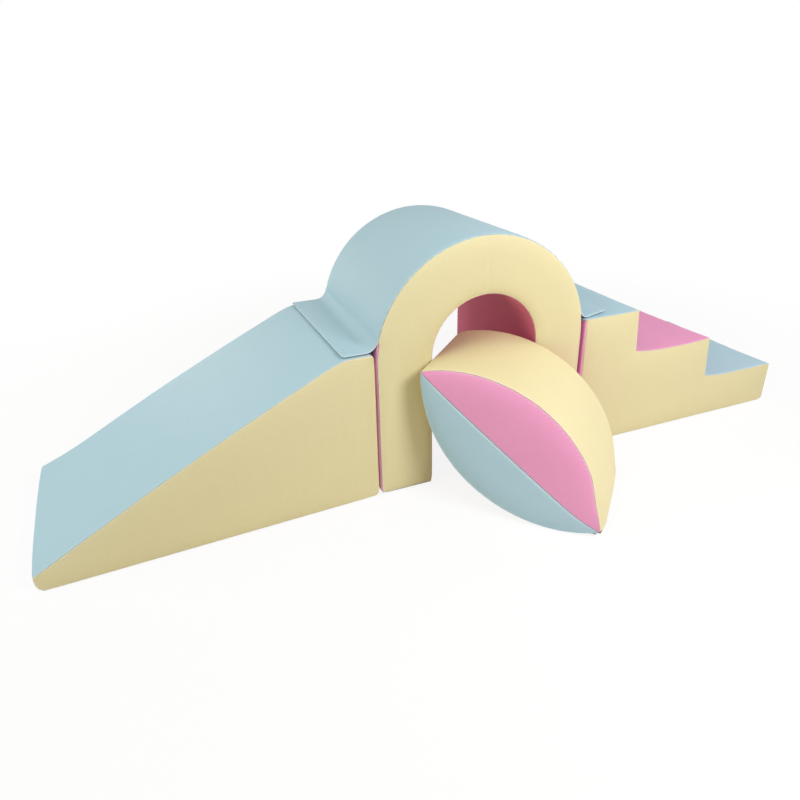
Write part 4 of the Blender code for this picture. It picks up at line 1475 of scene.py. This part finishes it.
# Zips: nylon teeth from both sides of a woven tape, a cast slider over them and its pull
zipper = {
    "pitch": 0.0026,
    "tooth": (0.0011, 0.0034, 0.0017),
    "toothOffset": 0.0013,
    "toothSoftness": 0.0003,
    "stitchLine": 0.0082,  # from the middle, each side
    "plate": (0.0140, 0.0110, 0.0014),
    "plateGap": 0.0004,  # over the teeth
    "plateSoftness": 0.0006,
    "tailShare": 0.72,  # the slider's width at its tail
    "rail": (0.0125, 0.0011, 0.0022),
    "railPlace": (-0.0005, -0.0009, 0.0002),  # from the middle, from the plate's edge and over the tape
    "railTailShare": 0.78,
    "join": 0.0002,  # how deep the bridge and the pull sit in the plate
    "bridgeRadius": 0.0026,
    "bridgeFoot": (0.0007, 0.0016, 0.0001),
    "eyeRadius": 0.0021,
    "eyeWire": 0.0006,
    "eyePlace": (0.0008, 0.0004),  # from the middle, and over the plate
    "pull": (0.0165, 0.0060, 0.0012),
    "pullOverlap": 0.0004,  # with the eye
    "neckShare": 0.45,  # the pull's width at the eye
    "pullCorner": 0.0012,
    "fieldInset": 0.0009,
    "fieldSlope": 0.0002,
    "fieldDepth": 0.0003,
}


def makeZip(block, along, out):
    nodes = frame["nodes"]
    along, out = Vector(along).normalized(), Vector(out).normalized()
    across = out.cross(along)
    spots = [vert.co for vert in nodes[block + "_zip_teeth"].data.vertices]
    lows, highs = ([pick(spot.dot(axis) for spot in spots) for axis in (along, across, out)]
                   for pick in (min, max))
    origin = along * lows[0] + across * (lows[1] + highs[1]) / 2 + out * lows[2]
    length = highs[0] - lows[0]
    place = frameAt(origin, along, out)

    bm = bmesh.new()
    count = int(length / zipper["pitch"])
    for index in range(count):
        for side in (-1, 1):
            x = (index + 0.5 + side * 0.25) * length / count
            y = side * zipper["toothOffset"]
            addBar(bm, place @ Matrix.Translation((x, y, 0)), zipper["tooth"])
    soften(bm, zipper["toothSoftness"])
    addPiece(bm, block + "_zip_chain", "teeth", block, [block + "_zip_teeth"], sharpFrom=40)

    rows = []
    for y in (-zipper["stitchLine"], zipper["stitchLine"]):
        ends = [place @ Vector((x, y, 0)) for x in (0, length)]
        rows.append((pointsAlong(*ends), out))
    addStitches(block + "_zip_stitches", rows, block)
    makeSlider(block, place)


def makeSlider(block, place):
    # the top plate narrows to its tail, and the rails reach down beside the teeth
    length, width, thickness = zipper["plate"]
    middle = length / 2
    under = zipper["tooth"][2] + zipper["plateGap"]
    top = under + thickness
    seat = top - zipper["join"]

    def narrowTail(verts, share):
        for vert in verts:
            if vert.co.x > middle:
                vert.co.y *= share

    bm = bmesh.new()
    narrowTail(addBar(bm, Matrix.Translation((middle, 0, under)), zipper["plate"]), zipper["tailShare"])
    soften(bm, zipper["plateSoftness"], 2)
    back, inwards, lift = zipper["railPlace"]
    for side in (-1, 1):
        railPlace = Matrix.Translation((middle + back, side * (width / 2 + inwards), lift))
        narrowTail(addBar(bm, railPlace, zipper["rail"]), zipper["railTailShare"])
    addBridge(bm, middle, seat)
    ahead, over = zipper["eyePlace"]
    eye = Vector((middle + zipper["eyeRadius"] + ahead, 0, top + over))
    addEye(bm, eye)
    addPull(bm, eye.x + zipper["eyeRadius"] - zipper["pullOverlap"], seat)
    bmesh.ops.recalc_face_normals(bm, faces=bm.faces)
    bmesh.ops.transform(bm, matrix=place, verts=bm.verts)
    body = block + "_zip_slider"
    addPiece(bm, body + "_casting", "slider", body, [body], sharpFrom=40)


def addBridge(bm, middle, seat):
    # a half hoop over the plate
    foot = addBar(bm, Matrix.Translation((middle + zipper["bridgeRadius"], 0, seat)), zipper["bridgeFoot"])
    bm.normal_update()
    cap = [face for face in bm.faces if set(face.verts) <= set(foot) and face.normal.z > squarely]
    edges = list({edge for face in cap for edge in face.edges})
    corners = list({vert for face in cap for vert in face.verts})
    bmesh.ops.spin(bm, geom=cap + edges + corners, cent=(middle, 0, seat), axis=(0, -1, 0), angle=math.pi,
                   steps=10, use_merge=False, use_duplicate=False)


def addEye(bm, eye):
    # a wire ring that holds the pull
    section = (Matrix.Translation(eye + Vector((zipper["eyeRadius"], 0, 0)))
               @ Matrix.Rotation(math.pi / 2, 4, "X"))
    ring = bmesh.ops.create_circle(bm, segments=8, radius=zipper["eyeWire"], cap_ends=False,
                                   matrix=section)["verts"]
    edges = list({edge for vert in ring for edge in vert.link_edges})
    bmesh.ops.spin(bm, geom=edges + ring, cent=eye, axis=(0, 0, 1), angle=2 * math.pi, steps=20,
                   use_merge=True, use_duplicate=False)


def addPull(bm, start, height):
    # a tab with a narrow neck, rounded corners and a sunk field
    tab = bmesh.new()
    addBar(tab, Matrix.Translation((start + zipper["pull"][0] / 2, 0, height)), zipper["pull"])
    for vert in tab.verts:
        if vert.co.x < start + slack:
            vert.co.y *= zipper["neckShare"]
    corners = [edge for edge in tab.edges if abs(edge.verts[0].co.z - edge.verts[1].co.z) > hair]
    bmesh.ops.bevel(tab, geom=corners, offset=zipper["pullCorner"], segments=4, profile=0.5, affect="EDGES",
                    material=-1)
    tab.normal_update()
    field = [face for face in tab.faces if face.normal.z > squarely]
    for width in (zipper["fieldInset"], zipper["fieldSlope"]):
        bmesh.ops.inset_region(tab, faces=field, thickness=width)
    sunk = list({vert for face in field for vert in face.verts})
    bmesh.ops.translate(tab, verts=sunk, vec=(0, 0, -zipper["fieldDepth"]))
    mesh = bpy.data.meshes.new("tab")
    tab.to_mesh(mesh)
    tab.free()
    bm.from_mesh(mesh)


makeCamera()
makeSurround()
makeFloor()
makeLamps()
finishes = makeFinishes()
print("studio and finishes ready")
archPlace, creaseAngle, bandRadius = makeArch()
rampPlace = makeRamp()
stairsPlace = makeStairs()
rockerZipOut = makeRocker()

makeFastener("ramp_loop_patch", "loop", "ramp", rampPlace, 1)
makeFastener("stairs_loop_patch", "loop", "stairs", stairsPlace, 1)
for side in ("left", "right"):
    makeFlap(side, creaseAngle, bandRadius)
    makeFastener(side + "_flap_hook_strip", "hook", side + "_flap", archPlace, -1)
print("flaps and fasteners made")

behind = (0, 1, 0)
zipOuts = {"arch": behind, "ramp": rampPlace.to_3x3() @ Vector(behind), "stairs": behind,
           "rocker": rockerZipOut}
for block, out in zipOuts.items():
    makeZip(block, jointOf(block + "_zip_slider")["axis"], out)
print("zips made")
